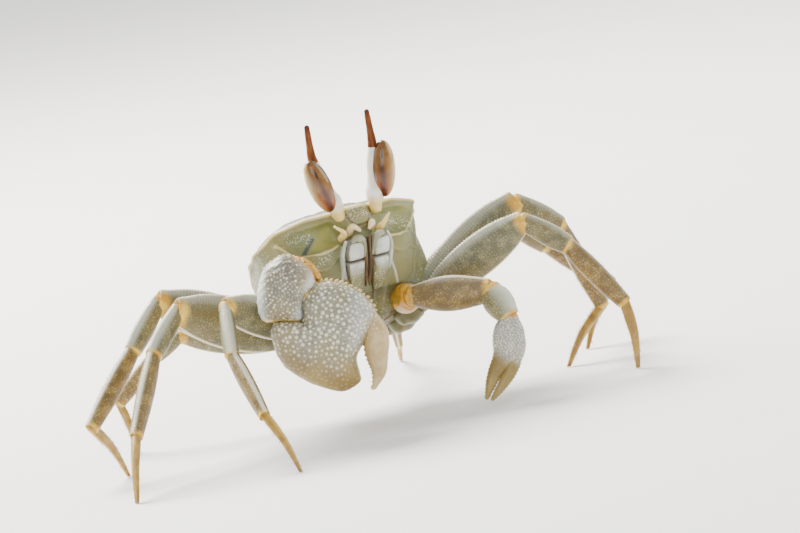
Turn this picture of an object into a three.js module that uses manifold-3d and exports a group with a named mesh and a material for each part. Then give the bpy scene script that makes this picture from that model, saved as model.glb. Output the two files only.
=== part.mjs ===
// A horned ghost crab, Ocypode ceratophthalmus, as a life-size still model.
// Millimetres, +Z up, floor at Z = 0. The crab faces -Y and its left is +X.
// Every plate of the outer skeleton is one closed solid; where two plates meet,
// the outer one is hollowed to receive the rounded end of the inner one.
import * as THREE from 'three';
import { mergeVertices } from 'three/addons/utils/BufferGeometryUtils.js';
import Module from 'manifold-3d';

const wasm = await Module();
wasm.setup();

// ---------------------------------------------------------------- driving sizes
const HALF_WIDTH = 20.5;          // half the carapace width, at its widest
const TRUNK_PITCH = 22;           // degrees the front of the trunk is raised
const TRUNK_AT = new THREE.Vector3(0, 12.85, 32.7);   // trunk origin over the floor
const STAND_AT = [1.42, -14.92, 0];    // brings the middle of the whole crab over the origin
const JOINT_GAP = 0.3;            // clearance between neighbouring plates
const JOINT_LAP = 0.7;            // how far each leg segment runs past its joints
const FOOT_LOW = 1.1;             // each toe tip is trimmed this far above its point

// Trunk frame used in the tables: x to the side, f forward, u up.
const DOME_TOP = 14.0;            // highest point of the back
const DOME_SQUARENESS = 3.6;      // how flat the back is before it turns down
const SOLE = -14.5;               // lowest point of the underside
const SOLE_EDGE = -7.4;           // where the carapace ends and the plastron begins

// Half of the carapace rim, front middle to rear middle: x, f, u, pieces to the next
const RIM = [
  [0, 16.6, 10.6, 1],             // rostrum, front middle
  [2.6, 16.2, 10.7, 1],           // rostrum, shoulder
  [4.4, 13.6, 10.9, 3],           // inner corner of the orbit
  [12.0, 12.6, 11.2, 3],          // middle of the orbital margin
  [18.2, 9.4, 10.6, 1],           // root of the outer orbital tooth
  [19.3, 9.2, 10.2, 1],           // tip of the outer orbital tooth
  [19.6, 7.2, 9.7, 1],            // notch behind the tooth
  [HALF_WIDTH, 0.5, 9.0, 2],      // widest part of the side
  [19.0, -6.5, 6.9, 1],
  [16.6, -12.2, 4.4, 2],
  [11.5, -16.2, 2.8, 2],          // rear corner
  [0, -17.2, 2.4, 0],             // rear middle
];

// Profiles from the rim down to the middle of the sole. Each row gives how far
// out it lies, as a share of the rim, and its height u.
const FLANK = [
  [1.00, 8.6], [0.985, 7.0], [1.01, 4.6], [1.04, 1.4], [1.05, -2.0], [1.02, -5.4],
  [0.93, -8.8], [0.76, -11.6], [0.51, -13.4], [0.25, -14.3],
];
const CORNER = [
  [0.985, 9.0], [0.955, 7.8], [0.94, 5.6], [0.91, 3.2], [0.865, 0.6], [0.805, -2.8],
  [0.72, -6.4], [0.60, -9.8], [0.45, -12.4], [0.24, -14.0],
];
const ORBIT = [
  [0.98, 9.6], [0.83, 8.9], [0.78, 6.4], [0.84, 4.2], [0.965, 3.4], [0.95, 1.8],
  [0.87, -2.6], [0.69, -7.8], [0.47, -11.8], [0.25, -14.0],
];
const MOUTH = [
  [1.03, 9.0], [1.02, 6.6], [0.93, 5.2], [0.90, 3.4], [0.87, 1.2], [0.80, -0.8],
  [0.62, -4.4], [0.47, -8.2], [0.33, -11.4], [0.18, -13.6],
];
const REAR = [
  [1.00, 1.6], [1.00, 0.2], [0.98, -1.4], [0.95, -3.2], [0.90, -5.0], [0.83, -7.0],
  [0.73, -9.2], [0.58, -11.4], [0.40, -13.2], [0.20, -14.2],
];

// Mouth plates: top and foot of their outer face in the trunk's middle plane
const MOUTH_TOP = { f: 17.4, u: 2.6 };
const MOUTH_FOOT = { f: 8.2, u: -7.9 };
const MOUTH_PLATE = { inner: 1.0, top: 5.8, foot: 4.2, thick: 2.2 };

// Eyes: root in the trunk frame, and how far each stalk leans out from upright
const EYES = {
  right: { side: -1, root: [-3.7, 14.7, 9.4], lean: 17 },
  left: { side: 1, root: [6.2, 14.0, 9.4], lean: 8 },
};
const EYE = {
  stalk: { length: 15.2, deep: [1.3, 1.9, 2.1, 1.6, 1.5, 1.5, 1.2, 0.9] },
  horn: { length: 7.3, deep: [1.1, 1.0, 0.85, 0.75, 0.7, 0.6] },
  cornea: { half: [2.75, 2.8, 6.5], at: 9.3, outward: 1.9, ahead: 1.3 },
};

// Feelers: a short stem and whip from the inner corner of each orbit
const FEELER = { root: [4.9, 14.0, 4.8], elbow: [5.3, 16.7, 5.3], tip: [7.3, 17.2, 7.1], deep: [0.9, 0.85, 0.6, 0.42, 0.3] };

// Leg roots in the trunk frame, by pair, for the left side
const HIPS = {
  1: [8.5, 8.5, -11.3], 2: [11.5, 4, -13], 3: [12.5, -2, -13], 4: [12, -8, -12], 5: [9, -13, -10.5],
};
const COXA_RADIUS = 3.3;

// Large claw, on the right: outlines of the wrist piece and of the hand with its
// fixed finger, across and up in the claw's own plane, clockwise from the wrist
const MAJOR = {
  faces: { yaw: -30, slope: 9, roll: -10 },
  ischiumEnd: [-11.6, -4.0, 26.6],
  elbow: [-25.6, -3.8, 33.0],
  merus: { deep: [2.6, 3.1, 3.5, 3.6, 3.0], wide: [2.3, 2.9, 3.2, 3.2, 2.7] },
  carpusAt: [-25.6, -5.3, 35.6],
  carpus: [[-2.6, 6.5], [0.3, 7.9], [4.3, 6.1], [6.4, 3.9], [6.7, 1.0], [4.3, -2.0], [3.8, -7.0], [-1.6, -7.0], [-4.9, -6.5], [-5.9, -1.6], [-4.7, 4.1]],
  carpusThick: { outer: 5.0, inner: 3.9 },
  palmAt: [-20.2, -10.8, 24.3],
  palm: [[-5.2, 7.2], [-3.7, 9.9], [-2.0, 11.4], [1.2, 11.8], [4.7, 10.9], [7.6, 9.2], [9.7, 7.3], [11.0, 4.8], [10.3, 2.0], [8.8, -1.3], [7.0, -4.9],
    [7.6, -8.1], [7.8, -10.3], [5.0, -12.3], [2.2, -12.5], [-2.5, -11.1], [-5.8, -9.4], [-8.9, -7.3], [-10.8, -4.5], [-11.8, -1.1], [-12.1, 0.9], [-11.4, 2.5], [-8.8, 2.9], [-5.6, 2.8], [-4.9, 4.3]],
  palmThick: { outer: 5.0, inner: 4.0 },
  finger: [[9.6, 4.2], [11.2, 0.6], [11.4, -4.0], [11.9, -8.0], [10.9, -11.6]],
  fingerDeep: [1.9, 2.6, 2.85, 2.4, 1.6, 0.6],
  fingerWide: [1.9, 2.4, 2.3, 2.0, 1.4, 0.6],
};

// Small claw, on the left, hanging with its finger tips just over the floor
const MINOR = {
  ischiumEnd: [7.8, -3.0, 26.2],
  elbow: [20.3, -16.8, 25.4],
  wrist: [21.8, -20.6, 19.2],
  palmEnd: [19.3, -22.2, 11.6],
  tip: [11.9, -22.6, 2.6],
  merus: { deep: [2.3, 3.2, 3.9, 3.9, 3.3, 2.6], wide: [2.2, 2.7, 3.0, 3.0, 2.7, 2.3] },
  carpus: { deep: [2.7, 3.4, 3.3, 2.5], wide: [2.4, 3.0, 3.0, 2.3] },
  palm: { deep: [2.1, 3.3, 3.7, 3.5, 2.3, 1.6, 1.1, 0.5], wide: [1.9, 2.4, 2.6, 2.4, 1.7, 1.2, 0.9, 0.5] },
  finger: { deep: [1.3, 1.6, 1.5, 1.2, 0.9, 0.45], wide: [1.4, 1.6, 1.4, 1.1, 0.8, 0.45] },
};

// Walking legs: each row is length, compass bearing from straight ahead towards
// the crab's left, and slope up from level, in mm and degrees.
const LEGS = {
  leg_right_1: { pair: 2, side: -1, size: 0.93, broad: 0.78, merus: [30, -80, 24], carpus: [11.8, -31, -55], propodus: [18.4, -8, -42], dactyl: [16.3, 8, -51] },
  leg_right_2: { pair: 3, side: -1, size: 1.0, broad: 1.0, merus: [36.5, -88, 24], carpus: [12.9, -67, -35], propodus: [21.6, -53, -43], dactyl: [17.4, -39, -47] },
  leg_right_3: { pair: 4, side: -1, size: 0.98, broad: 0.94, merus: [37.4, -95, 28], carpus: [13, -80, -43], propodus: [21.9, -71, -38], dactyl: [17.5, -62, -129] },
  leg_right_4: { pair: 5, side: -1, size: 0.72, broad: 0.62, merus: [28.2, -117, 14], carpus: [8.6, -114, -29], propodus: [12.9, -114, -44], dactyl: [11.8, -114, -99] },
  leg_left_1: { pair: 2, side: 1, size: 0.98, broad: 0.78, merus: [32.7, 56, 29], carpus: [11.6, 56, -38], propodus: [18.6, 55, -55], dactyl: [15.9, 55, -88] },
  leg_left_2: { pair: 3, side: 1, size: 1.0, broad: 0.96, merus: [37.1, 73, 34], carpus: [12.7, 83, -38], propodus: [22.4, 86, -70], dactyl: [17.5, 91, -137] },
  leg_left_3: { pair: 4, side: 1, size: 0.98, broad: 0.94, merus: [37.4, 84, 27], carpus: [13, 90, -41], propodus: [21.9, 94, -38], dactyl: [17.5, 97, -129] },
  leg_left_4: { pair: 5, side: 1, size: 0.72, broad: 0.62, merus: [24.9, 138, 8], carpus: [8.5, 144, -43], propodus: [12.9, 148, -52], dactyl: [12, 151, -29] },
};

// Half depth (in the plane of the leg) and half breadth of each segment, root to
// tip, for the largest legs
const SECTION = {
  merus: { deep: [1.9, 2.6, 4.7, 5.7, 5.8, 4.9, 2.9], wide: [1.8, 2.0, 2.5, 2.7, 2.6, 2.3, 1.9] },
  carpus: { deep: [1.9, 2.35, 2.45, 2.1], wide: [1.6, 1.9, 1.95, 1.75] },
  propodus: { deep: [1.9, 2.25, 2.1, 1.6], wide: [1.6, 1.75, 1.6, 1.3] },
  dactyl: { deep: [1.3, 1.3, 1.05, 0.75, 0.45], wide: [1.15, 1.1, 0.9, 0.7, 0.45] },
};

// ---------------------------------------------------------------- solids
const rad = THREE.MathUtils.degToRad;

function solidOf(geometry) {
  const bare = geometry.index ? geometry.toNonIndexed() : geometry.clone();
  bare.deleteAttribute('normal');
  bare.deleteAttribute('uv');
  const merged = mergeVertices(bare, 1e-4);
  return new wasm.Manifold(new wasm.Mesh({
    numProp: 3,
    vertProperties: new Float32Array(merged.attributes.position.array),
    triVerts: new Uint32Array(merged.index.array),
  }));
}

function geometryOf(solid) {
  const whole = solid.decompose().sort((a, b) => b.volume() - a.volume())[0];
  const { vertProperties, triVerts, numProp } = whole.getMesh();
  const positions = new Float32Array(vertProperties.length / numProp * 3);
  for (let i = 0; i < positions.length / 3; i++) {
    for (let k = 0; k < 3; k++) positions[3 * i + k] = vertProperties[numProp * i + k];
  }
  const geometry = new THREE.BufferGeometry();
  geometry.setAttribute('position', new THREE.BufferAttribute(positions, 3));
  geometry.setIndex(new THREE.BufferAttribute(new Uint32Array(triVerts), 1));
  geometry.computeVertexNormals();
  return geometry;
}

// Value at t from 0 to 1 along a row of evenly spaced sizes
function along(sizes, t) {
  const place = t * (sizes.length - 1);
  const i = Math.min(Math.floor(place), sizes.length - 2);
  return THREE.MathUtils.lerp(sizes[i], sizes[i + 1], place - i);
}

// A limb segment: a sphere drawn out along a path, with half depth and half
// breadth from two rows of sizes. Both ends are domed over endShare of its length,
// by two close rings.
function limb({ path, deep, wide, up = new THREE.Vector3(0, 0, 1), around = 10, rings = 8, endShare = 0.16, grow = 0 }) {
  const curve = new THREE.CatmullRomCurve3(path);
  const sphere = new THREE.SphereGeometry(1, around, rings);
  const vertex = new THREE.Vector3();
  const place = sphere.attributes.position;
  for (let i = 0; i < place.count; i++) {
    vertex.fromBufferAttribute(place, i);
    const ring = Math.round((Math.acos(THREE.MathUtils.clamp(vertex.y, -1, 1)) / Math.PI) * rings);
    const turn = Math.atan2(vertex.z, vertex.x);
    const fromEnd = Math.min(ring, rings - ring);
    const spaced = endShare + (1 - 2 * endShare) * ((ring - 2) / (rings - 4));
    const inset = [0, endShare / 4][fromEnd];
    const t = fromEnd > 1 ? spaced : ring < rings / 2 ? inset : 1 - inset;
    const dome = [0, 0.74][fromEnd] ?? 1;
    const centre = curve.getPointAt(t);
    const forward = curve.getTangentAt(t);
    const depthWay = up.clone().addScaledVector(forward, -up.dot(forward)).normalize();
    const breadthWay = forward.clone().cross(depthWay);
    centre.addScaledVector(depthWay, Math.sin(turn) * (along(deep, t) + grow) * dome);
    centre.addScaledVector(breadthWay, Math.cos(turn) * (along(wide, t) + grow) * dome);
    centre.addScaledVector(forward, grow * (2 * t - 1));
    place.setXYZ(i, centre.x, centre.y, centre.z);
  }
  const solid = solidOf(sphere);
  return solid.volume() > 0 ? solid : solidOf(turnedInsideOut(sphere));
}

function turnedInsideOut(geometry) {
  const index = geometry.index.array;
  for (let i = 0; i < index.length; i += 3) [index[i], index[i + 1]] = [index[i + 1], index[i]];
  return geometry;
}

function ball(centre, radii, around = 12, rings = 8) {
  const sphere = new THREE.SphereGeometry(1, around, rings);
  sphere.rotateX(Math.PI / 2);
  sphere.scale(...radii);
  sphere.translate(centre.x, centre.y, centre.z);
  return solidOf(sphere);
}

const scaled = (sizes, factor) => sizes.map((size) => size * factor);

// ---------------------------------------------------------------- frames
// Trunk frame (x, f, u) as three.js axes of the trunk group: X = x, Y = -f, Z = u
const inTrunk = (x, f, u) => new THREE.Vector3(x, -f, u);
const trunk = new THREE.Group();
trunk.position.copy(TRUNK_AT);
trunk.rotation.x = -rad(TRUNK_PITCH);
trunk.updateMatrix();
const outOfTrunk = trunk.matrix;
const intoTrunk = outOfTrunk.clone().invert();
const fromTrunk = ([x, f, u]) => inTrunk(x, f, u).applyMatrix4(outOfTrunk);

function bearing(yaw, slope) {
  return new THREE.Vector3(
    Math.sin(rad(yaw)) * Math.cos(rad(slope)),
    -Math.cos(rad(yaw)) * Math.cos(rad(slope)),
    Math.sin(rad(slope)),
  );
}

// ---------------------------------------------------------------- trunk form
// Points round the whole rim, with the extra pieces of each stretch filled in
function rimPoints() {
  const half = [];
  RIM.forEach(([x, f, u, pieces], k) => {
    const next = RIM[k + 1];
    for (let j = 0; j < Math.max(pieces, 1); j++) {
      const s = pieces ? j / pieces : 0;
      half.push(next
        ? [THREE.MathUtils.lerp(x, next[0], s), THREE.MathUtils.lerp(f, next[1], s), THREE.MathUtils.lerp(u, next[2], s)]
        : [x, f, u]);
    }
  });
  const other = half.slice(1, -1).reverse().map(([x, f, u]) => [-x, f, u]);
  return half.concat(other);
}

// How much of a rim point belongs to the mouth, orbit, front corner, rear and flank
function regionOf([x, f]) {
  const side = Math.abs(x);
  const ahead = THREE.MathUtils.smoothstep(f, 7.4, 9.6);
  const middle = 1 - THREE.MathUtils.smoothstep(side, 3.0, 6.5);
  const outer = THREE.MathUtils.smoothstep(side, 14.5, 18.6);
  const mouth = ahead * middle;
  const orbit = ahead * (1 - middle) * (1 - outer);
  const corner = outer * THREE.MathUtils.smoothstep(f, 1.0, 8.0);
  const rear = (1 - ahead) * (1 - THREE.MathUtils.smoothstep(f, -16.5, -7));
  return { mouth, orbit, corner, rear, flank: Math.max(0, 1 - mouth - orbit - corner - rear) };
}

const DOME_RINGS = 5;

function trunkForm() {
  const rim = rimPoints();
  const rings = DOME_RINGS + FLANK.length + 1;
  const sphere = new THREE.SphereGeometry(1, rim.length, rings);
  const place = sphere.attributes.position;
  const columns = rim.length + 1;
  for (let i = 0; i < place.count; i++) {
    const ring = Math.floor(i / columns);
    const [x, f, u] = rim[(i % columns) % rim.length];
    let share;
    let height;
    if (ring <= DOME_RINGS) {
      share = Math.sin((ring / DOME_RINGS) * Math.PI / 2);
      height = DOME_TOP + (u - DOME_TOP) * share ** DOME_SQUARENESS;
    } else if (ring < rings) {
      const part = regionOf([x, f]);
      const row = ring - DOME_RINGS - 1;
      const mix = (k) => part.flank * FLANK[row][k] + part.orbit * ORBIT[row][k]
        + part.corner * CORNER[row][k] + part.mouth * MOUTH[row][k] + part.rear * REAR[row][k];
      share = mix(0);
      height = mix(1);
    } else {
      share = 0;
      height = SOLE;
    }
    const point = inTrunk(x * share, f * share, height);
    place.setXYZ(i, point.x, point.y, point.z);
  }
  const solid = solidOf(sphere);
  return solid.volume() > 0 ? solid : solidOf(turnedInsideOut(sphere));
}

// ---------------------------------------------------------------- limbs
const limbs = {};                 // name -> { solid, grown } in the floor frame
const roots = [];                 // grown root segments that hollow the trunk

function addSegment(name, form, inner) {
  let solid = limb(form);
  if (inner) solid = solid.subtract(inner);
  const grown = limb({ ...form, grow: JOINT_GAP });
  limbs[name] = { solid, grown };
  return grown;
}

const floorBlock = new THREE.BoxGeometry(400, 400, 20);
floorBlock.translate(0, 0, -10);
const underFloor = solidOf(floorBlock);

for (const [name, leg] of Object.entries(LEGS)) {
  const [x, f, u] = HIPS[leg.pair];
  let root = fromTrunk([x * leg.side, f, u]);
  let inner = null;
  for (const segment of ['merus', 'carpus', 'propodus', 'dactyl']) {
    const [length, yaw, slope] = leg[segment];
    const way = bearing(yaw, slope);
    const tip = root.clone().addScaledVector(way, length);
    const lap = way.clone().multiplyScalar(JOINT_LAP * leg.size);
    const path = [root.clone().sub(lap), tip.clone().add(lap)];
    if (segment === 'dactyl') {
      path[1].copy(tip).setZ(-FOOT_LOW);
      const sag = new THREE.Vector3(0, 0, 1).cross(way).cross(way).normalize();
      path.splice(1, 0, root.clone().lerp(tip, 0.5).addScaledVector(sag, -0.05 * length));
    }
    const section = SECTION[segment];
    const factor = segment === 'merus' ? leg.broad : leg.size;
    const upright = Math.abs(way.z) > 0.9 ? bearing(yaw, 0) : new THREE.Vector3(0, 0, 1);
    inner = addSegment(`${name}_${segment}`, {
      path,
      deep: scaled(section.deep, factor),
      wide: scaled(section.wide, leg.size),
      up: upright,
      around: 8,
      rings: { merus: 7, carpus: 5, propodus: 5, dactyl: 6 }[segment],
      endShare: segment === 'merus' ? 0.09 : 0.14,
    }, inner);
    if (segment === 'merus') roots.push(inner);
    if (segment === 'dactyl') limbs[`${name}_dactyl`].solid = limbs[`${name}_dactyl`].solid.subtract(underFloor);
    root = tip;
  }
}

// A flat-sided rounded form: an outline round its middle, domed on both faces.
// frame carries the outline's across, up and outward axes and its middle.
function domed({ outline, frame, outer, inner, around = 28, rings = 5, squareness = 2.4, grow = 0 }) {
  const curve = new THREE.CatmullRomCurve3(outline.map(([x, y]) => new THREE.Vector3(x, y, 0)), true, 'centripetal');
  const edge = curve.getSpacedPoints(around);
  const sphere = new THREE.SphereGeometry(1, around, 2 * rings);
  const place = sphere.attributes.position;
  for (let i = 0; i < place.count; i++) {
    const ring = Math.floor(i / (around + 1));
    const point = edge[(i % (around + 1)) % around].clone();
    const share = Math.sin((ring / rings) * Math.PI / 2);
    const rise = (1 - share ** squareness) ** (1 / squareness);
    point.setLength(point.length() * share + grow * share);
    point.z = ring <= rings ? rise * (outer + grow) : -rise * (inner + grow);
    if (ring === 0 || ring === 2 * rings) point.set(0, 0, ring ? -inner - grow : outer + grow);
    point.applyMatrix4(frame);
    place.setXYZ(i, point.x, point.y, point.z);
  }
  const solid = solidOf(sphere);
  return solid.volume() > 0 ? solid : solidOf(turnedInsideOut(sphere));
}

function claw(name, solid, grown) {
  limbs[name] = { solid, grown };
  return grown;
}

const UP = new THREE.Vector3(0, 0, 1);
const at = (xyz) => new THREE.Vector3(...xyz);

// Large claw
{
  const { yaw, slope, roll } = MAJOR.faces;
  const outward = bearing(yaw, slope);
  const across = bearing(yaw + 90, 0).applyAxisAngle(outward, rad(roll));
  const upward = outward.clone().cross(across);
  const frameAt = (xyz) => new THREE.Matrix4().makeBasis(across, upward, outward).setPosition(...xyz);
  const [x, f, u] = HIPS[1];
  const hip = fromTrunk([-x, f, u]);
  const ischium = { path: [hip, at(MAJOR.ischiumEnd)], deep: [2.4, 2.9, 2.8], wide: [2.3, 2.7, 2.6], rings: 6 };
  let inner = addSegment('claw_right_ischium', ischium);
  roots.push(inner);
  inner = addSegment('claw_right_merus', { path: [at(MAJOR.ischiumEnd), at(MAJOR.elbow)], ...MAJOR.merus }, inner);
  roots.push(inner);
  const upperArm = inner;
  const carpus = { outline: MAJOR.carpus, frame: frameAt(MAJOR.carpusAt), ...MAJOR.carpusThick, around: 18, rings: 3 };
  inner = claw('claw_right_carpus', domed(carpus).subtract(inner), domed({ ...carpus, grow: JOINT_GAP }));
  const palmFrame = frameAt(MAJOR.palmAt);
  const fingerForm = {
    path: MAJOR.finger.map(([a, b]) => new THREE.Vector3(a, b, 0).applyMatrix4(palmFrame)),
    deep: MAJOR.fingerDeep, wide: MAJOR.fingerWide, up: across, around: 12, rings: 9,
  };
  const finger = limb(fingerForm);
  const palm = { outline: MAJOR.palm, frame: palmFrame, ...MAJOR.palmThick, around: 24, rings: 4 };
  claw('claw_right_palm', domed(palm).subtract(inner).subtract(upperArm).subtract(limb({ ...fingerForm, grow: JOINT_GAP })));
  claw('claw_right_finger', finger);
}

// Small claw
{
  const [x, f, u] = HIPS[1];
  const hip = fromTrunk([x, f, u]);
  const ischium = { path: [hip, at(MINOR.ischiumEnd)], deep: [2.4, 2.8, 2.6], wide: [2.3, 2.6, 2.4], rings: 6 };
  let inner = addSegment('claw_left_ischium', ischium);
  roots.push(inner);
  inner = addSegment('claw_left_merus', { path: [at(MINOR.ischiumEnd), at(MINOR.elbow)], ...MINOR.merus }, inner);
  roots.push(inner);
  const wrist = at(MINOR.wrist);
  const elbow = at(MINOR.elbow);
  const outside = bearing(60, 0);
  inner = addSegment('claw_left_carpus', { path: [elbow, wrist], ...MINOR.carpus, up: outside }, inner);
  const palmEnd = at(MINOR.palmEnd);
  const tip = at(MINOR.tip);
  const way = tip.clone().sub(wrist).normalize();
  const outer = outside.clone().addScaledVector(way, -outside.dot(way)).normalize();
  const fixedBend = palmEnd.clone().lerp(tip, 0.5).addScaledVector(outer, -1.1);
  const movingBend = palmEnd.clone().lerp(tip, 0.5).addScaledVector(outer, 1.9);
  const fingerForm = {
    path: [palmEnd.clone().addScaledVector(outer, 1.9), movingBend, tip.clone().addScaledVector(outer, 0.75)],
    ...MINOR.finger, up: outer, rings: 8,
  };
  const palmForm = {
    path: [wrist, wrist.clone().lerp(palmEnd, 0.55), palmEnd.clone().addScaledVector(outer, -0.2), fixedBend, tip.clone().addScaledVector(outer, -0.6)],
    ...MINOR.palm, up: outer, around: 10, rings: 8, endShare: 0.08,
  };
  const palm = limb(palmForm).subtract(inner).subtract(limb({ ...fingerForm, grow: JOINT_GAP }));
  claw('claw_left_palm', palm);
  claw('claw_left_finger', limb(fingerForm));
}

// ---------------------------------------------------------------- eyes and feelers
const headParts = {};             // name -> { solid, grown }, grown hollows the carapace

for (const [name, eye] of Object.entries(EYES)) {
  const root = fromTrunk(eye.root);
  const axis = new THREE.Vector3(eye.side * Math.sin(rad(eye.lean)), 0, Math.cos(rad(eye.lean)));
  const outward = new THREE.Vector3(axis.z, 0, -axis.x).multiplyScalar(eye.side);
  const ahead = new THREE.Vector3(0, -1, 0);
  const top = root.clone().addScaledVector(axis, EYE.stalk.length);
  const stalkForm = { path: [root, top], deep: EYE.stalk.deep, wide: EYE.stalk.deep, up: ahead, around: 8, rings: 8, endShare: 0.08 };
  const middle = root.clone().addScaledVector(axis, EYE.cornea.at)
    .addScaledVector(outward, EYE.cornea.outward).addScaledVector(ahead, EYE.cornea.ahead);
  const corneaFrame = new THREE.Matrix4().makeBasis(outward, ahead.clone().negate(), axis);
  if (corneaFrame.determinant() < 0) corneaFrame.makeBasis(outward, ahead, axis);
  const corneaOf = (grow) => ball(new THREE.Vector3(), EYE.cornea.half.map((r) => r + grow))
    .transform(corneaFrame.clone().setPosition(middle).elements);
  const hornTip = top.clone().addScaledVector(UP, EYE.horn.length);
  const hornForm = { path: [top.clone().addScaledVector(axis, -0.7), top.clone().addScaledVector(axis, 0.4).addScaledVector(UP, 0.6), hornTip], deep: EYE.horn.deep, wide: EYE.horn.deep, up: ahead, around: 8, rings: 7, endShare: 0.06 };
  headParts[`cornea_${name}`] = { solid: corneaOf(0) };
  headParts[`eye_horn_${name}`] = { solid: limb(hornForm).subtract(limb({ ...stalkForm, grow: JOINT_GAP })).subtract(corneaOf(JOINT_GAP)) };
  headParts[`eyestalk_${name}`] = { solid: limb(stalkForm).subtract(corneaOf(JOINT_GAP)), grown: limb({ ...stalkForm, grow: JOINT_GAP }) };
}

for (const [name, side] of [['right', -1], ['left', 1]]) {
  const form = {
    path: [FEELER.root, FEELER.elbow, FEELER.tip].map(([x, f, u]) => fromTrunk([x * side, f, u])),
    deep: FEELER.deep, wide: FEELER.deep, up: new THREE.Vector3(side, 0, 0), around: 8, rings: 7,
  };
  headParts[`feeler_${name}`] = { solid: limb(form), grown: limb({ ...form, grow: JOINT_GAP }) };
}

// ---------------------------------------------------------------- mouth plates
// Each covers half of the mouth: a long lower plate with a square one above it
function mouthPlate(side, grow) {
  const { inner, top, foot, thick } = MOUTH_PLATE;
  const height = Math.hypot(MOUTH_TOP.f - MOUTH_FOOT.f, MOUTH_TOP.u - MOUTH_FOOT.u);
  const seam = 0.36 * height;
  const edgeAt = (y) => THREE.MathUtils.lerp(top, foot, (y / height) ** 1.6);
  const outlines = [
    [[inner + 0.5, 0.5], [top - 0.9, 0], [edgeAt(seam * 0.5) + 0.1, seam * 0.45], [edgeAt(seam) - 0.2, seam - 0.3], [inner + 0.2, seam - 0.3]],
    [[inner, seam + 0.3], [edgeAt(seam), seam + 0.3], [edgeAt(height * 0.75), height * 0.75], [foot - 0.8, height - 0.3], [inner + 0.2, height]],
  ];
  const down = new THREE.Vector3(0, -(MOUTH_FOOT.f - MOUTH_TOP.f), MOUTH_FOOT.u - MOUTH_TOP.u).normalize();
  const across = new THREE.Vector3(side, 0, 0);
  const outward = down.clone().cross(new THREE.Vector3(1, 0, 0)).negate();
  if (outward.y > 0) outward.negate();
  const bevel = 0.35;
  const solids = outlines.map((points) => {
    const shape = new THREE.Shape(points.map(([x, y]) => new THREE.Vector2(x, y)));
    const plate = new THREE.ExtrudeGeometry(shape, {
      depth: thick - 2 * bevel + 2 * grow, bevelThickness: bevel, bevelSize: bevel + grow, bevelSegments: 2, curveSegments: 4,
    });
    plate.translate(0, 0, -thick + bevel - grow);
    const frame = new THREE.Matrix4().makeBasis(across, down, outward);
    frame.setPosition(inTrunk(0, MOUTH_TOP.f, MOUTH_TOP.u));
    plate.applyMatrix4(frame);
    const solid = solidOf(plate);
    return solid.volume() > 0 ? solid : solidOf(turnedInsideOut(plate.index ? plate : mergeVertices(plate)));
  });
  return solids[0].add(solids[1]);
}

// ---------------------------------------------------------------- trunk plates
const box = (from, to) => {
  const block = new THREE.BoxGeometry(to[0] - from[0], to[1] - from[1], to[2] - from[2]);
  block.translate((from[0] + to[0]) / 2, -(from[1] + to[1]) / 2, (from[2] + to[2]) / 2);
  return solidOf(block);
};

const whole = trunkForm();
const soleBlock = (grow) => box([-30, -30, -30], [30, 30, SOLE_EDGE + grow]);
const coxae = (grow) => Object.values(HIPS).flatMap(([x, f, u]) => [-1, 1].map((side) => (
  ball(inTrunk(x * side, f, u), [COXA_RADIUS + grow, COXA_RADIUS + grow, COXA_RADIUS + grow], 6, 4)
))).reduce((sum, knob) => sum.add(knob));
const abdomenForm = {
  path: [[-16.7, -2.2], [-15.2, -5.8], [-12.2, -9.8], [-8, -12.7], [-3, -14.4], [2.4, -14.5]].map(([f, u]) => inTrunk(0, f, u)),
  deep: [0.6, 0.9, 0.9, 0.9, 0.9, 0.9, 0.6], wide: [4.6, 5.2, 4.2, 3.2, 2.7, 2.3, 1.3], up: inTrunk(0, -0.4, -1), around: 8, rings: 8, endShare: 0.06,
};

const hollows = roots.map((solid) => solid.transform(intoTrunk.elements))
  .concat(Object.values(headParts).filter((part) => part.grown).map((part) => part.grown.transform(intoTrunk.elements)));
const hollowed = (solid) => hollows.reduce((rest, hollow) => rest.subtract(hollow), solid);

const abdomen = limb(abdomenForm);
const plastron = hollowed(whole.intersect(soleBlock(0)).add(coxae(0))).subtract(limb({ ...abdomenForm, grow: JOINT_GAP }))
  .subtract(mouthPlate(1, JOINT_GAP)).subtract(mouthPlate(-1, JOINT_GAP));
const carapace = hollowed(whole.subtract(soleBlock(JOINT_GAP)))
  .subtract(mouthPlate(1, JOINT_GAP)).subtract(mouthPlate(-1, JOINT_GAP))
  .subtract(limb({ ...abdomenForm, grow: JOINT_GAP }));

// ---------------------------------------------------------------- the crab
const finish = {
  back: { color: 0xa29c74, roughness: 0.5 },
  sole: { color: 0x8f8a62, roughness: 0.45 },
  mouth: { color: 0xa6aa9c, roughness: 0.45 },
  claw: { color: 0xb8b298, roughness: 0.5 },
  fingertip: { color: 0xcfc4a4, roughness: 0.4 },
  leg: { color: 0x8c8558, roughness: 0.5 },
  toe: { color: 0xb08a4a, roughness: 0.4 },
  stalk: { color: 0xd9cfb4, roughness: 0.35 },
  cornea: { color: 0xa8855a, roughness: 0.08 },
  horn: { color: 0x74401f, roughness: 0.35 },
};

function plate(name, solid, look) {
  const mesh = new THREE.Mesh(geometryOf(solid), new THREE.MeshStandardMaterial({ ...finish[look], metalness: 0 }));
  mesh.name = name;
  return mesh;
}

const crab = new THREE.Group();
crab.position.set(...STAND_AT);
trunk.add(
  plate('carapace', carapace, 'back'),
  plate('plastron', plastron, 'sole'),
  plate('abdomen', abdomen, 'sole'),
  plate('maxilliped_right', mouthPlate(-1, 0), 'mouth'),
  plate('maxilliped_left', mouthPlate(1, 0), 'mouth'),
);
crab.add(trunk);

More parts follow.
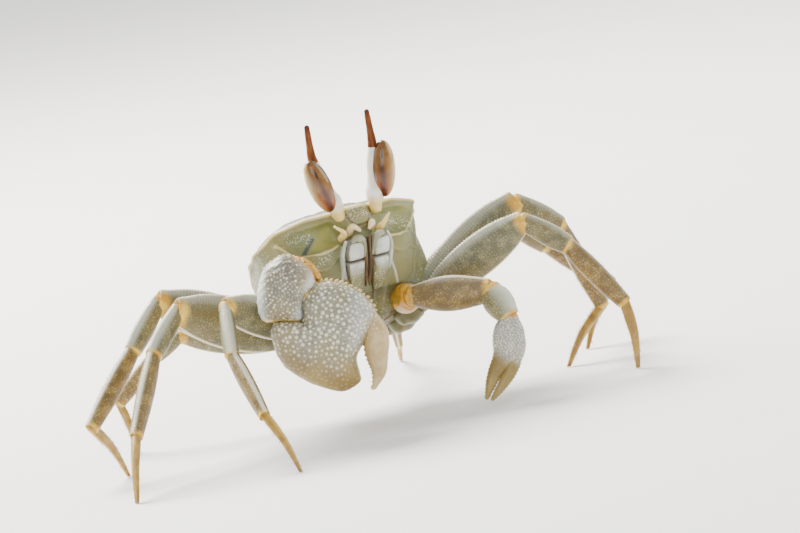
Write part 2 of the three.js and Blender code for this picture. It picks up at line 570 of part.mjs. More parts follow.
const headLook = { cornea: 'cornea', eye_horn: 'horn', eyestalk: 'stalk', feeler: 'stalk' };
for (const [name, { solid }] of Object.entries(headParts)) {
  crab.add(plate(name, solid, headLook[name.replace(/_(left|right)$/, '')]));
}
for (const [name, { solid }] of Object.entries(limbs)) {
  const look = name.endsWith('dactyl') ? 'toe' : name.endsWith('finger') ? 'fingertip' : name.startsWith('claw') ? 'claw' : 'leg';
  crab.add(plate(name, solid, look));
}

export default crab;
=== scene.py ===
import math

import bpy
import numpy as np
from mathutils import Matrix, Vector, kdtree


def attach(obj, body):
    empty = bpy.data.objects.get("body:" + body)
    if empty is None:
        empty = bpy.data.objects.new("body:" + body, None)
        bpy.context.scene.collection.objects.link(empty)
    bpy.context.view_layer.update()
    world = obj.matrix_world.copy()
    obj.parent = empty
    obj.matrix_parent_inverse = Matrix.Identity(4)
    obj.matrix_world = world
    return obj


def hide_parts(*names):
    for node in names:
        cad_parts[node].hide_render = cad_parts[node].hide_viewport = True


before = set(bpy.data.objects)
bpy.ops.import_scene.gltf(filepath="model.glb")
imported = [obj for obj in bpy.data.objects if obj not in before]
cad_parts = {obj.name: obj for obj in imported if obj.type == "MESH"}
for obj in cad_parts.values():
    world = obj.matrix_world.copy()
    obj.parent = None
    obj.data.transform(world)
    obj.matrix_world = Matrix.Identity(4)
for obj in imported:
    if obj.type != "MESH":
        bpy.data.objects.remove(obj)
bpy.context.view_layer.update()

# ------------------------------------------------------------------ floor, light and camera
# The crab stands on a plain pale floor. A soft key light hangs above and behind it, weak ones stand
# in front and to its left, and a wide one lights the floor behind. The camera looks a little down.
MM = 0.001
STAND = np.array([1.42, -14.92, 0.0])      # shift that centres the whole crab, in mm
VIEW_TURN = math.radians(-30)
VIEW_DROP = math.radians(8.7)
VIEW_ROLL = math.radians(10)
VIEW_MIDDLE = np.array([0.0, 0.0, 35.2])   # point between the eyes and the claws, in mm
VIEW_DISTANCE = 1000.0
VIEW_ACROSS = 7.05                         # how far the view's middle is from that point, in mm
VIEW_UP = -0.34
FLOOR_WIDTH = 6.0                          # metres, as all of Blender's own sizes are
FLOOR_DROP = 0.0002                        # keeps the floor just clear of the toes
LAMP_AIM = Vector((0, -0.01, 0.03))
LAMPS = (  # name, place in metres, size, watts, colour
    ("key", (-0.05, 0.55, 0.72), 0.45, 30.0, (1.0, 0.98, 0.95)),
    ("front", (-0.55, -0.7, 0.5), 0.7, 4.5, (0.97, 0.98, 1.0)),
    ("left", (0.8, -0.2, 0.4), 0.6, 4.5, (1.0, 0.98, 0.96)),
    ("far", (-0.7, 1.9, 1.1), 1.6, 55.0, (1.0, 0.99, 0.97)),
)


def hue(code):
    """A colour from its web code, as linear red, green, blue and full alpha."""
    parts = [int(code[k:k + 2], 16) / 255 for k in (0, 2, 4)]
    return tuple(c / 12.92 if c <= 0.04045 else ((c + 0.055) / 1.055) ** 2.4 for c in parts) + (1.0,)


def new_finish(name):
    """A material with one Principled shader: the material, its node tree and the shader."""
    finish = bpy.data.materials.new(name)
    finish.use_nodes = True
    tree = finish.node_tree
    return finish, tree, tree.nodes["Principled BSDF"]


def noise_on(tree, scale, detail=3.0, stretch=(1, 1, 1)):
    """Noise on object coordinates; scale is in features per metre."""
    place = tree.nodes.new("ShaderNodeTexCoord")
    mapping = tree.nodes.new("ShaderNodeMapping")
    mapping.inputs["Scale"].default_value = stretch
    tree.links.new(place.outputs["Object"], mapping.inputs["Vector"])
    noise = tree.nodes.new("ShaderNodeTexNoise")
    noise.inputs["Scale"].default_value = scale
    noise.inputs["Detail"].default_value = detail
    tree.links.new(mapping.outputs["Vector"], noise.inputs["Vector"])
    return noise.outputs["Fac"]


def blend_hues(tree, share, first, second):
    """Two colours mixed by a value: all first at 0, all second at 1. Each is a web code or an output."""
    node = tree.nodes.new("ShaderNodeMix")
    node.data_type = "RGBA"
    tree.links.new(share, node.inputs["Factor"])
    for socket, given in ((node.inputs["A"], first), (node.inputs["B"], second)):
        if isinstance(given, str):
            socket.default_value = hue(given)
        else:
            tree.links.new(given, socket)
    return node.outputs["Result"]


bpy.ops.object.select_all(action="DESELECT")
bpy.ops.mesh.primitive_plane_add(size=FLOOR_WIDTH, location=(0, 0, -FLOOR_DROP))
floor = bpy.context.object
floor.name = "floor"
floor_finish, tree, shader = new_finish("pale_floor")
tone = blend_hues(tree, noise_on(tree, 14, 4), "f1efea", "f7f5f1")
tree.links.new(tone, shader.inputs["Base Color"])
shader.inputs["Roughness"].default_value = 0.8
floor.data.materials.append(floor_finish)

world = bpy.data.worlds.new("studio")
bpy.context.scene.world = world
world.use_nodes = True
sky = world.node_tree.nodes["Background"]
sky.inputs["Color"].default_value = (0.93, 0.96, 1.0, 1.0)
sky.inputs["Strength"].default_value = 0.8

for name, place, size, watts, tint in LAMPS:
    bpy.ops.object.light_add(type="AREA", location=place)
    lamp = bpy.context.object
    lamp.name = name
    lamp.data.size = size
    lamp.data.energy = watts
    lamp.data.color = tint
    lamp.rotation_euler = (LAMP_AIM - Vector(place)).to_track_quat("-Z", "Y").to_euler()

away = np.array([math.sin(VIEW_TURN) * math.cos(VIEW_DROP), -math.cos(VIEW_TURN) * math.cos(VIEW_DROP),
                 math.sin(VIEW_DROP)])
right = np.array([math.cos(VIEW_TURN), math.sin(VIEW_TURN), 0.0])
upward = np.cross(away, right)
camera_x = math.cos(VIEW_ROLL) * right - math.sin(VIEW_ROLL) * upward
camera_y = math.sin(VIEW_ROLL) * right + math.cos(VIEW_ROLL) * upward
stand_point = VIEW_MIDDLE + STAND + VIEW_DISTANCE * away
stand_point = stand_point + VIEW_ACROSS * camera_x + VIEW_UP * camera_y
bpy.ops.object.camera_add()
camera = bpy.context.object
camera.name = "camera"
camera.matrix_world = Matrix((
    (camera_x[0], camera_y[0], away[0], stand_point[0] * MM),
    (camera_x[1], camera_y[1], away[1], stand_point[1] * MM),
    (camera_x[2], camera_y[2], away[2], stand_point[2] * MM),
    (0, 0, 0, 1)))
camera.data.sensor_width = 36.0
camera.data.lens = 198.0
camera.data.clip_start = 0.05
camera.data.clip_end = 20.0
bpy.context.scene.camera = camera

# ------------------------------------------------------------------ back and side shell
# The carapace is one thick plate of limy shell. It arches over the back, turns down in a beaded edge
# round its sides and eye hollows, and runs in under the mouth. Fine granules cover all but the hollows.
TRUNK_PITCH = math.radians(22)             # the trunk's front is raised this much
TRUNK_AT = np.array([0.0, 12.85, 32.7])
DOME_TOP = 14.0
DOME_SQUARENESS = 3.6
SOLE = -14.5                               # height of the underside in the trunk's frame
SOLE_EDGE = -7.4                           # height where the carapace ends and the underside begins
RIM = [  # half of the rim, front to rear: to the side, forward, up
    [0, 16.6, 10.6], [2.6, 16.2, 10.7], [4.4, 13.6, 10.9], [12.0, 12.6, 11.2], [18.2, 9.4, 10.6],
    [19.3, 9.2, 10.2], [19.6, 7.2, 9.7], [20.5, 0.5, 9.0], [19.0, -6.5, 6.9], [16.6, -12.2, 4.4],
    [11.5, -16.2, 2.8], [0, -17.2, 2.4]]
PROFILES = {  # from the rim down: share of the way out, and height, in ten steps
    "flank": [[1.00, 8.6], [.985, 7.0], [1.01, 4.6], [1.04, 1.4], [1.05, -2.0], [1.02, -5.4],
              [.93, -8.8], [.76, -11.6], [.51, -13.4], [.25, -14.3]],
    "corner": [[.985, 9.0], [.955, 7.8], [.94, 5.6], [.91, 3.2], [.865, .6], [.805, -2.8],
               [.72, -6.4], [.60, -9.8], [.45, -12.4], [.24, -14.0]],
    "orbit": [[.98, 9.6], [.83, 8.9], [.78, 6.4], [.84, 4.2], [.965, 3.4], [.95, 1.8],
              [.87, -2.6], [.69, -7.8], [.47, -11.8], [.25, -14.0]],
    "mouth": [[1.03, 9.0], [1.02, 6.6], [.93, 5.2], [.90, 3.4], [.87, 1.2], [.80, -.8],
              [.62, -4.4], [.47, -8.2], [.33, -11.4], [.18, -13.6]],
    "rear": [[1.00, 1.6], [1.00, .2], [.98, -1.4], [.95, -3.2], [.90, -5.0], [.83, -7.0],
             [.73, -9.2], [.58, -11.4], [.40, -13.2], [.20, -14.2]]}
LOWER_ORBIT = [[18.6, 8.6, 8.3], [16.3, 8.8, 5.4], [13.6, 10.3, 3.4], [10.6, 12.2, 2.8],
               [7.3, 12.7, 3.1], [5.0, 12.8, 3.8], [3.0, 14.2, 4.9]]
CHEEK_ARC = [[15.2, 9.0, 0.2], [13.4, 10.4, .2], [11.3, 11.3, -.6], [9.6, 11.7, -.6],
             [7.8, 12.1, .3], [6.2, 12.4, 1.4], [5.3, 13.0, 2.8]]
MOUTH_RIDGE = [[5.3, 13.6, 3.2], [6.0, 12.4, .4], [6.5, 11.5, -2.4], [7.1, 10.4, -4.8], [7.4, 9.6, -7.0]]
# A dark blue-grey band low in each orbit, sunk a little as a shallow groove and fainter on the crab's left.
ORBIT_BAND_LINE = [[9.6, 9.9, 7.3], [11.2, 9.2, 5.9], [13.1, 9.4, 4.2]]
# Painted highlight: white specks along these lines stand in for glints of light, on both orbit floors, the
# crab's right cheek and the middle of the front edge.
GLINT_PATCHES = ([[-14.9, 9.2, 8.6], [-10.8, 9.7, 8.0]], [[11.2, 9.4, 7.7], [16.3, 8.7, 4.8]],
               [[-9.0, 12.2, 2.4], [-11.0, 11.4, 1.2]], [[-1.6, 16.4, 9.2], [1.6, 16.4, 9.2]])
FRONT_OUTLINE = [[3.0, 15.3, 10.2], [2.7, 16.6, 8.0], [1.7, 16.5, 6.4], [0, 16.5, 6.1]]
BACK_GROOVES = [
    [[6.6, 8.6], [5.2, 4.6], [6.4, 1.2], [4.6, -2.6], [5.0, -6.6], [7.2, -10.6]],
    [[6.0, .8], [10.0, 2.2], [14.5, 4.4]],
    [[0, -2.4], [2.4, -3.2], [4.6, -2.6]]]
FACE = np.array([1, 0.3, 1])               # lines on the face are laid on mostly from in front
COLUMNS = 340
ROWS = 230
DOME_PART = 0.42                           # share of the rows that arch over the back
WALL_PART = 0.95                           # share of the rows down to where the shell closes
WALL_STEPS = 160
BROW_HALF = 2.0                            # mm of the back that is pale behind its front edge
RIM_STEPS = 1500                           # steps in which the rim is drawn
RIM_BLUR = 18                              # steps to each side that round a corner of it
RIM_BEADS = (0.6, 0.3)                     # mm between them and their half width, here and below
ORBIT_BEADS = (0.55, 0.34)
FINE_GRANULES = (0.74, 0.4)
COARSE_GRANULES = (1.7, 0.5)
random_state = np.random.default_rng(7)


def corners(piece):
    """The places of a piece's corners."""
    spots = np.empty(len(piece.data.vertices) * 3)
    piece.data.vertices.foreach_get("co", spots)
    return spots.reshape(-1, 3)


def sphere_net(name, columns, rows):
    """A sphere primitive, with each corner's share of the way from its top pole to its bottom pole,
    and its turn round the poles."""
    bpy.ops.object.select_all(action="DESELECT")
    bpy.ops.mesh.primitive_uv_sphere_add(segments=columns, ring_count=rows, radius=1.0)
    piece = bpy.context.object
    piece.name = piece.data.name = name
    spots = corners(piece)
    share = np.arccos(np.clip(spots[:, 2], -1, 1)) / math.pi
    return piece, share, np.arctan2(spots[:, 1], spots[:, 0])


def column_of(turn, count):
    """Which of the columns round a piece each corner is in."""
    return np.round((turn / (2 * math.pi)) % 1 * count).astype(int) % count


def place_corners(piece, spots):
    """Moves a piece's corners to those places, in mm from the middle of the floor under the crab."""
    piece.data.vertices.foreach_set("co", (spots * MM).ravel())
    piece.data.update()


def outward_ways(piece):
    """The surface's outward direction at each corner."""
    ways = np.empty(len(piece.data.vertices) * 3)
    piece.data.vertex_normals.foreach_get("vector", ways)
    return ways.reshape(-1, 3)


def edit_all(piece):
    """Opens a piece in edit mode, with all of it selected and nothing else."""
    bpy.ops.object.select_all(action="DESELECT")
    piece.select_set(True)
    bpy.context.view_layer.objects.active = piece
    bpy.ops.object.mode_set(mode="EDIT")
    bpy.ops.mesh.select_all(action="SELECT")


def face_outwards(piece):
    """Turns all of a closed piece's faces outwards, and shades it smooth."""
    edit_all(piece)
    bpy.ops.mesh.normals_make_consistent(inside=False)
    bpy.ops.object.mode_set(mode="OBJECT")
    bpy.ops.object.shade_smooth()


def raise_skin(piece, height):
    """Moves each corner outwards by its height in mm."""
    spots = corners(piece) / MM
    place_corners(piece, spots + outward_ways(piece) * np.asarray(height)[:, None])


def mark(piece, **values):
    """Keeps values at a piece's corners, for the finish to read: one for each corner, or one for all."""
    for name, value in values.items():
        layer = piece.data.attributes.new(name, "FLOAT", "POINT")
        layer.data.foreach_set("value", np.full(len(piece.data.vertices), value, dtype=np.float32))


def hold(piece, slot_name, finish, *nodes_replaced):
    """Gives a piece its finish, fixes it to the crab, and names the nodes it stands for; the slot name is not
    used.
    """
    piece.data.materials.clear()
    piece.data.materials.append(finish)
    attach(piece, "root")
    if nodes_replaced:
        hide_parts(*nodes_replaced)


def smooth_row(values, t):
    """A smooth curve through evenly spaced values, at shares t from 0 to 1."""
    values = np.asarray(values, float)
    last = len(values) - 1
    place = np.clip(t, 0, 1) * last
    i = np.minimum(place.astype(int), last - 1)
    s = place - i
    if values.ndim > 1:
        s = s[:, None]
    before, here = values[np.maximum(i - 1, 0)], values[i]
    after, beyond = values[i + 1], values[np.minimum(i + 2, last)]
    return here + 0.5 * s * (after - before + s * (2 * before - 5 * here + 4 * after - beyond
                                                   + s * (3 * (here - after) + beyond - before)))


def step(value, low, high):
    """0 below low, 1 above high, and a smooth rise between."""
    s = np.clip((value - low) / (high - low), 0, 1)
    return s * s * (3 - 2 * s)


def run_along(line):
    """How far along a bent line each of its points is."""
    return np.concatenate([[0], np.cumsum(np.linalg.norm(np.diff(line, axis=0), axis=1))])


def points_at(stops, run, line):
    """The places on a bent line at those distances along it."""
    return np.stack([np.interp(stops, run, line[:, k]) for k in range(line.shape[1])], axis=1)


def from_line(spots, line):
    """Each spot's distance from a bent line."""
    line = np.asarray(line, float)
    nearest = np.full(len(spots), np.inf)
    for a, b in zip(line[:-1], line[1:]):
        along = b - a
        s = np.clip(((spots - a) @ along) / (along @ along), 0, 1)
        nearest = np.minimum(nearest, np.linalg.norm(spots - a - s[:, None] * along, axis=1))
    return nearest


def ridge(spots, line, half):
    """1 on a bent line, falling to nothing over about half to each side."""
    return np.exp(-(from_line(spots, line) / half) ** 2)


def finder_of(points):
    """A finder of the nearest of some points."""
    finder = kdtree.KDTree(len(points))
    for n, point in enumerate(points):
        finder.insert(point, n)
    finder.balance()
    return finder


def beads(spots, line, spacing, radius):
    """Domes of 1 at even steps along a bent line."""
    line = np.asarray(line, float)
    run = run_along(line)
    finder = finder_of(points_at(np.arange(spacing / 2, run[-1], spacing), run, line))
    far = np.array([finder.find(spot)[2] for spot in spots])
    return np.clip(1 - (far / radius) ** 2, 0, 1)


def granules(spots, spacing, radius, allowed=None, vary=0.35):
    """Domes of about 1 scattered over a surface, no two nearer than the spacing."""
    order = random_state.permutation(len(spots))
    if allowed is not None:
        order = order[allowed[order]]
    cells = np.floor(spots[order] / (spacing * 0.5)).astype(int)
    first = np.unique(cells, axis=0, return_index=True)[1]
    tries = spots[order[np.sort(first)]].tolist()
    chosen = []
    taken = {}
    near = [(i, j, k) for i in (-1, 0, 1) for j in (-1, 0, 1) for k in (-1, 0, 1)]
    for x, y, z in tries:
        ci, cj, ck = int(x // spacing), int(y // spacing), int(z // spacing)
        if all((ax - x) ** 2 + (ay - y) ** 2 + (az - z) ** 2 > spacing * spacing
               for i, j, k in near for ax, ay, az in taken.get((ci + i, cj + j, ck + k), ())):
            taken.setdefault((ci, cj, ck), []).append((x, y, z))
            chosen.append((x, y, z))
    finder = finder_of(chosen)
    size = 1 - vary * random_state.random(len(chosen))
    found = [finder.find(spot)[1:] for spot in spots.tolist()]
    far = np.array([f[1] for f in found])
    own = size[np.array([f[0] for f in found])]
    return np.clip(1 - (far / (radius * own)) ** 2, 0, 1) * own


def both_sides(line):
    """A line on the crab's left, and the same line on its right."""
    line = np.asarray(line, float)
    other = line.copy()
    other[:, 0] *= -1
    return line, other


def strongest(value_of, lines):
    """The greatest value that any of some lines gives at each corner."""
    return np.maximum.reduce([value_of(line) for line in lines])


def out_of_trunk(spots):
    """Places in the trunk's own frame (side, forward, up) as places over the floor."""
    side, forward, up = np.asarray(spots, float).T
    turned = np.stack([side, -(forward * math.cos(TRUNK_PITCH) - up * math.sin(TRUNK_PITCH)),
                       forward * math.sin(TRUNK_PITCH) + up * math.cos(TRUNK_PITCH)], axis=1)
    return turned + TRUNK_AT + STAND


def rim_loop(count):
    """Evenly spaced points round the whole rim, with its corners slightly rounded."""
    half = np.array(RIM, float)
    loop = np.vstack([half, (half * [-1, 1, 1])[-2::-1]])
    run = run_along(loop)
    points = points_at(np.linspace(0, run[-1], RIM_STEPS, endpoint=False), run, loop)
    window = np.exp(-(np.arange(-RIM_BLUR, RIM_BLUR + 1) / 8.0) ** 2)
    window /= window.sum()
    wrapped = np.vstack([points[-RIM_BLUR:], points, points[:RIM_BLUR]])
    points = np.stack([np.convolve(wrapped[:, k], window, "valid") for k in range(3)], axis=1)
    pick = np.arange(count) * len(points) / count
    return points_at(pick, np.arange(len(points) + 1), np.vstack([points, points[:1]]))


def wall_profiles(rim):
    """For each rim point, its wall from the rim to the sole's middle, as share out and height."""
    side, forward = np.abs(rim[:, 0]), rim[:, 1]
    ahead = step(forward, 7.4, 9.6)
    middle = 1 - step(side, 3.0, 6.5)
    outer = step(side, 14.5, 18.6)
    parts = {"mouth": ahead * middle, "orbit": ahead * (1 - middle) * (1 - outer),
             "corner": outer * step(forward, 1.0, 8.0),
             "rear": (1 - ahead) * (1 - step(forward, -16.5, -7))}
    parts["flank"] = np.maximum(0, 1 - sum(parts.values()))
    rows = sum(parts[name][:, None, None] * np.array(PROFILES[name])[None] for name in PROFILES)
    top = np.stack([np.ones(len(rim)), rim[:, 2]], axis=1)[:, None]
    foot = np.tile([[[0.0, SOLE]]], (len(rim), 1, 1))
    rows = np.concatenate([top, rows, foot], axis=1)
    t = np.linspace(0, 1, WALL_STEPS)
    return np.stack([smooth_row(rows[n], t) for n in range(len(rim))]), parts


def steps_to(walls, height):
    """How many steps down each wall falls to that height."""
    return np.array([np.argmax(wall[:, 1] <= height) for wall in walls])


def on_wall(walls, column, down):
    """The share out and the height, that many steps down each corner's own wall."""
    low = np.floor(down).astype(int)
    part = (down - low)[:, None]
    return walls[column, low] * (1 - part) + walls[column, np.minimum(low + 1, WALL_STEPS - 1)] * part


rim = rim_loop(COLUMNS)
walls, rim_parts = wall_profiles(rim)
carapace, share, turn = sphere_net("carapace_shell", COLUMNS, ROWS)
column = column_of(turn, COLUMNS)
side, forward, up = rim[column].T
on_dome = share <= DOME_PART
out = np.sin(np.clip(share / DOME_PART, 0, 1) * math.pi / 2)
height = DOME_TOP + (up - DOME_TOP) * out ** DOME_SQUARENESS
down = np.clip((share - DOME_PART) / (WALL_PART - DOME_PART), 0, 1) * steps_to(walls, SOLE_EDGE)[column]
wall = on_wall(walls, column, down)
closing = np.clip((share - WALL_PART) / (1 - WALL_PART), 0, 1)
out = np.where(on_dome, out, wall[:, 0] * (1 - closing))
height = np.where(on_dome, height, wall[:, 1])
trunk_spots = np.stack([side * out, forward * out, height], axis=1)
place_corners(carapace, out_of_trunk(trunk_spots))
face_outwards(carapace)

back = on_dome.astype(float)
in_front = step(trunk_spots[:, 1], 6.0, 7.5) * (1 - on_dome)
in_orbit = (rim_parts["orbit"][column] * (1 - on_dome) * step(trunk_spots[:, 2], 3.0, 4.0)
            * (1 - step(trunk_spots[:, 2], 9.2, 10.2)))
face = trunk_spots * FACE
flat = trunk_spots * [1, 1, 0]
lift = np.zeros(len(share))
groove_dark = np.zeros(len(share))
for groove in BACK_GROOVES:
    for line in both_sides([[x, f, 0] for x, f in groove]):
        lift -= 0.32 * ridge(flat, line, 0.9) * back
        groove_dark = np.maximum(groove_dark, ridge(flat, line, 1.5) * back)
swell = np.exp(-(((np.abs(flat[:, 0]) - 12.5) / 4.5) ** 2 + ((flat[:, 1] + 3.5) / 6.5) ** 2))
heart = np.exp(-((flat[:, 0] / 3.4) ** 2 + ((flat[:, 1] + 7) / 3.4) ** 2))
lift += 0.5 * swell * back + 0.35 * heart * back
rim_run = np.vstack([rim, rim[:1]])
rim_beads = beads(trunk_spots, rim_run, *RIM_BEADS)
rim_ridge = ridge(trunk_spots, rim_run, 0.36)
lift += 0.18 * rim_ridge + 0.2 * rim_beads
lines = np.maximum(rim_ridge, rim_beads)
for line in both_sides(LOWER_ORBIT * FACE):
    bead = beads(face, line, *ORBIT_BEADS) * in_front
    crest = ridge(face, line, 0.3) * in_front
    lift += 0.3 * crest + 0.16 * bead
    lines = np.maximum(lines, np.maximum(crest, bead))
for line in both_sides(CHEEK_ARC * FACE):
    crest = ridge(face, line, 0.3) * in_front
    lift += 0.2 * crest - 0.2 * ridge(face + [0, 0, 0.7], line, 0.45) * in_front
    lines = np.maximum(lines, 0.45 * crest)
mouth_ridge = np.zeros(len(share))
for line in both_sides(MOUTH_RIDGE * FACE):
    crest = ridge(face, line, 0.36) * in_front
    lift += 0.75 * crest
    mouth_ridge = np.maximum(mouth_ridge, crest)
eye_mark = strongest(lambda line: ridge(face, line, 0.5) * in_front, both_sides(ORBIT_BAND_LINE * FACE))
outline = strongest(lambda line: ridge(face, line, 0.28) * in_front, both_sides(FRONT_OUTLINE * FACE))
wet = strongest(lambda line: ridge(face, line * FACE, 1.3) * in_front, GLINT_PATCHES)
lift -= 0.2 * eye_mark
lift -= 0.3 * outline
brow = ridge(trunk_spots, rim_run, BROW_HALF) * back * (0.25 + 0.75 * step(trunk_spots[:, 1], -1.0, 7.0))
# Painted glints are strewn on the pale band behind the front edge as well.
wet = np.maximum(wet, 0.9 * brow * step(trunk_spots[:, 1], 2.0, 8.0))
flank = rim_parts["flank"][column] + rim_parts["rear"][column] + 0.5 * rim_parts["corner"][column]
granular = np.where(on_dome, 0.8, 0.22 + 0.6 * np.clip(flank, 0, 1)) * (1 - in_orbit)
fine = granules(trunk_spots, *FINE_GRANULES, allowed=in_orbit < 0.4)
coarse = granules(trunk_spots, *COARSE_GRANULES, allowed=(in_orbit < 0.3) & (np.abs(side) > 6))
lift += (0.06 * fine + 0.06 * coarse) * granular
raise_skin(carapace, lift)
mark(carapace, grain=np.maximum(fine, coarse) * granular, line=lines, orbit=in_orbit, back=back, wet=wet,
     eye_mark=eye_mark * np.where(trunk_spots[:, 0] > 0, 0.45, 1.0), groove=groove_dark,
     mouth_ridge=mouth_ridge, outline=outline, brow=brow)


def spread(tree, value, low, high, to_low=0.0, to_high=1.0):
    """A value stretched from low..high to to_low..to_high, and held at the ends."""
    node = tree.nodes.new("ShaderNodeMapRange")
    node.interpolation_type = "SMOOTHSTEP"
    node.inputs["From Min"].default_value = low
    node.inputs["From Max"].default_value = high
    node.inputs["To Min"].default_value = to_low
    node.inputs["To Max"].default_value = to_high
    tree.links.new(value, node.inputs["Value"])
    return node.outputs["Result"]


def cells_on(tree, scale):
    """The distance from the middles of irregular cells on object coordinates, in cells per metre."""
    place = tree.nodes.new("ShaderNodeTexCoord")
    cells = tree.nodes.new("ShaderNodeTexVoronoi")
    cells.inputs["Scale"].default_value = scale
    tree.links.new(place.outputs["Object"], cells.inputs["Vector"])
    return cells.outputs["Distance"]


def specks(tree, scale, size):
    """Round specks of 1 strewn over a piece: how many per metre, and their share of a cell."""
    return spread(tree, cells_on(tree, scale), size, size * 0.4)


def mottle_on(tree, scale, detail, low, high, stretch=(1, 1, 1)):
    """Soft patches from 0 to 1, from noise of that scale between those two values."""
    return spread(tree, noise_on(tree, scale, detail, stretch), low, high)


def times(tree, first, second):
    """Two values multiplied."""
    node = tree.nodes.new("ShaderNodeMath")
    node.operation = "MULTIPLY"
    tree.links.new(first, node.inputs[0])
    tree.links.new(second, node.inputs[1])
    return node.outputs["Value"]


def reading(tree, name):
    """The value that a piece keeps at its corners under that name."""
    node = tree.nodes.new("ShaderNodeAttribute")
    node.attribute_name = name
    return node.outputs["Fac"]


def laid_on(tree, tone, name, low, high, most, code):
    """A tone with a colour laid over it: none where a kept value is low, and most where it is high."""
    return blend_hues(tree, spread(tree, reading(tree, name), low, high, 0, most), tone, code)


def shell_gloss(shader, roughness, subsurface, radius=(1.0, 0.75, 0.4), coat=0.0):
    """How a limy plate takes light: a soft gloss, and a little light let in."""
    shader.inputs["Roughness"].default_value = roughness
    shader.inputs["Specular IOR Level"].default_value = 0.5
    shader.inputs["Subsurface Weight"].default_value = subsurface
    shader.inputs["Subsurface Radius"].default_value = radius
    shader.inputs["Subsurface Scale"].default_value = 0.0012
    shader.inputs["Coat Weight"].default_value = coat
    shader.inputs["Coat Roughness"].default_value = 0.25


def colour_and_bump(tree, shader, tone, height, depth):
    """Gives a finish its colour, and bump from a height value with its full depth in metres."""
    tree.links.new(tone, shader.inputs["Base Color"])
    bump = tree.nodes.new("ShaderNodeBump")
    bump.inputs["Distance"].default_value = depth
    tree.links.new(height, bump.inputs["Height"])
    tree.links.new(bump.outputs["Normal"], shader.inputs["Normal"])


back_finish, tree, shader = new_finish("granular_back")
mottle = mottle_on(tree, 180, 5, 0.42, 0.62)
wide_mottle = mottle_on(tree, 70, 3, 0.4, 0.62)
top = blend_hues(tree, mottle, "5e5838", "7c744f")
top = blend_hues(tree, wide_mottle, top, "67603a")
top = laid_on(tree, top, "groove", 0.1, 0.9, 0.7, "4c452c")
top = laid_on(tree, top, "brow", 0.1, 0.9, 0.8, "dad6c2")
cheek = blend_hues(tree, mottle, "6c6f4a", "83865c")
cheek = blend_hues(tree, wide_mottle, cheek, "857d48")
hollow = blend_hues(tree, mottle, "8f8c4c", "a5a056")
hollow = blend_hues(tree, wide_mottle, hollow, "868d62")
tone = blend_hues(tree, reading(tree, "back"), cheek, top)
tone = blend_hues(tree, reading(tree, "orbit"), tone, hollow)
tone = laid_on(tree, tone, "grain", 0.15, 0.8, 0.75, "cfcaa8")
tone = laid_on(tree, tone, "line", 0.2, 0.8, 1, "d0bf80")
tone = laid_on(tree, tone, "mouth_ridge", 0.15, 0.8, 1, "b7b8a2")
tone = laid_on(tree, tone, "eye_mark", 0.2, 0.8, 0.85, "404a50")
tone = laid_on(tree, tone, "outline", 0.2, 0.8, 0.8, "5b4426")
# Painted highlight: white specks on the glint patches stand in for glints of light.
tone = blend_hues(tree, times(tree, reading(tree, "wet"), specks(tree, 2400, 0.45)), tone, "eceadf")
shell_gloss(shader, 0.42, 0.25)
colour_and_bump(tree, shader, tone, noise_on(tree, 2600, 3), 0.00012)
hold(carapace, "shell", back_finish, "carapace")

# ------------------------------------------------------------------ plates under the body
# The plastron is the broad smooth plate under the body, in pairs of cross plates with a furrow between
# each. The folded abdomen, seven short plates, lies flat in a groove along its middle.
SOLE_COLUMNS = 240
SOLE_ROWS = 120
SOLE_ROOF = 0.08                           # share of the rows that close the plate inside the body
SOLE_GRANULES = (0.8, 0.4)
PLASTRON_FURROWS = ([6.0, 2.6], [1.0, 0.0], [-5.0, -4.6], [-10.5, -8.6])   # forward, outside and inside
ABDOMEN_LINE = [[-16.7, -2.2], [-15.2, -5.8], [-12.2, -9.8], [-8, -12.7], [-3, -14.4], [2.4, -14.5]]
ABDOMEN_JOINTS = (0.1, 0.21, 0.33, 0.47, 0.62, 0.8)
LIP_AT = (0, 0.14, 0.28, 0.42, 0.62, 1.0)      # steps from the rim of an open end to the floor of its cup
LIP_OUT = (1.0, 0.98, 0.90, 0.80, 0.55, 0.0)   # share of the end's half width
LIP_ON = (0, 0.22, 0.24, 0.0, -0.45, -0.6)     # mm past an end that is LIP_HALF mm in half width
LIP_HALF = 1.6
ROOT_DOME = 0.6                            # how far a root stands out, as a share of its half width
PATH_STEPS = 300                           # steps in which a limb's path is drawn

plastron, share, turn = sphere_net("plastron_plates", SOLE_COLUMNS, SOLE_ROWS)
sole_rim = rim_loop(SOLE_COLUMNS)
sole_walls = wall_profiles(sole_rim)[0]
column = column_of(turn, SOLE_COLUMNS)
edge_step = steps_to(sole_walls, SOLE_EDGE + 0.3)[column]
down = edge_step + np.clip((share - SOLE_ROOF) / (1 - SOLE_ROOF), 0, 1) * (WALL_STEPS - 1 - edge_step)
wall = on_wall(sole_walls, column, down)
out = np.where(share < SOLE_ROOF, np.clip(share / SOLE_ROOF, 0, 1) * wall[:, 0], wall[:, 0])
trunk_spots = np.stack([sole_rim[column, 0] * out, sole_rim[column, 1] * out, wall[:, 1]], axis=1)
place_corners(plastron, out_of_trunk(trunk_spots))
face_outwards(plastron)
below = step(share, SOLE_ROOF, 0.2)
furrow = np.zeros(len(share))
flat = trunk_spots * [1, 1, 0]
for outside, inside in PLASTRON_FURROWS:
    for line in both_sides([[3.0, inside, 0], [8.0, (inside + outside) / 2, 0], [13.0, outside, 0]]):
        furrow = np.maximum(furrow, ridge(flat, line, 0.45))
furrow = np.maximum(furrow, 0.8 * ridge(flat, [[0, 9, 0], [0, -17, 0]], 0.5))
fine = granules(trunk_spots, *SOLE_GRANULES, allowed=below > 0.5) * below
raise_skin(plastron, -0.05 - 0.4 * furrow * below + 0.04 * fine)
mark(plastron, grain=fine, groove=furrow)

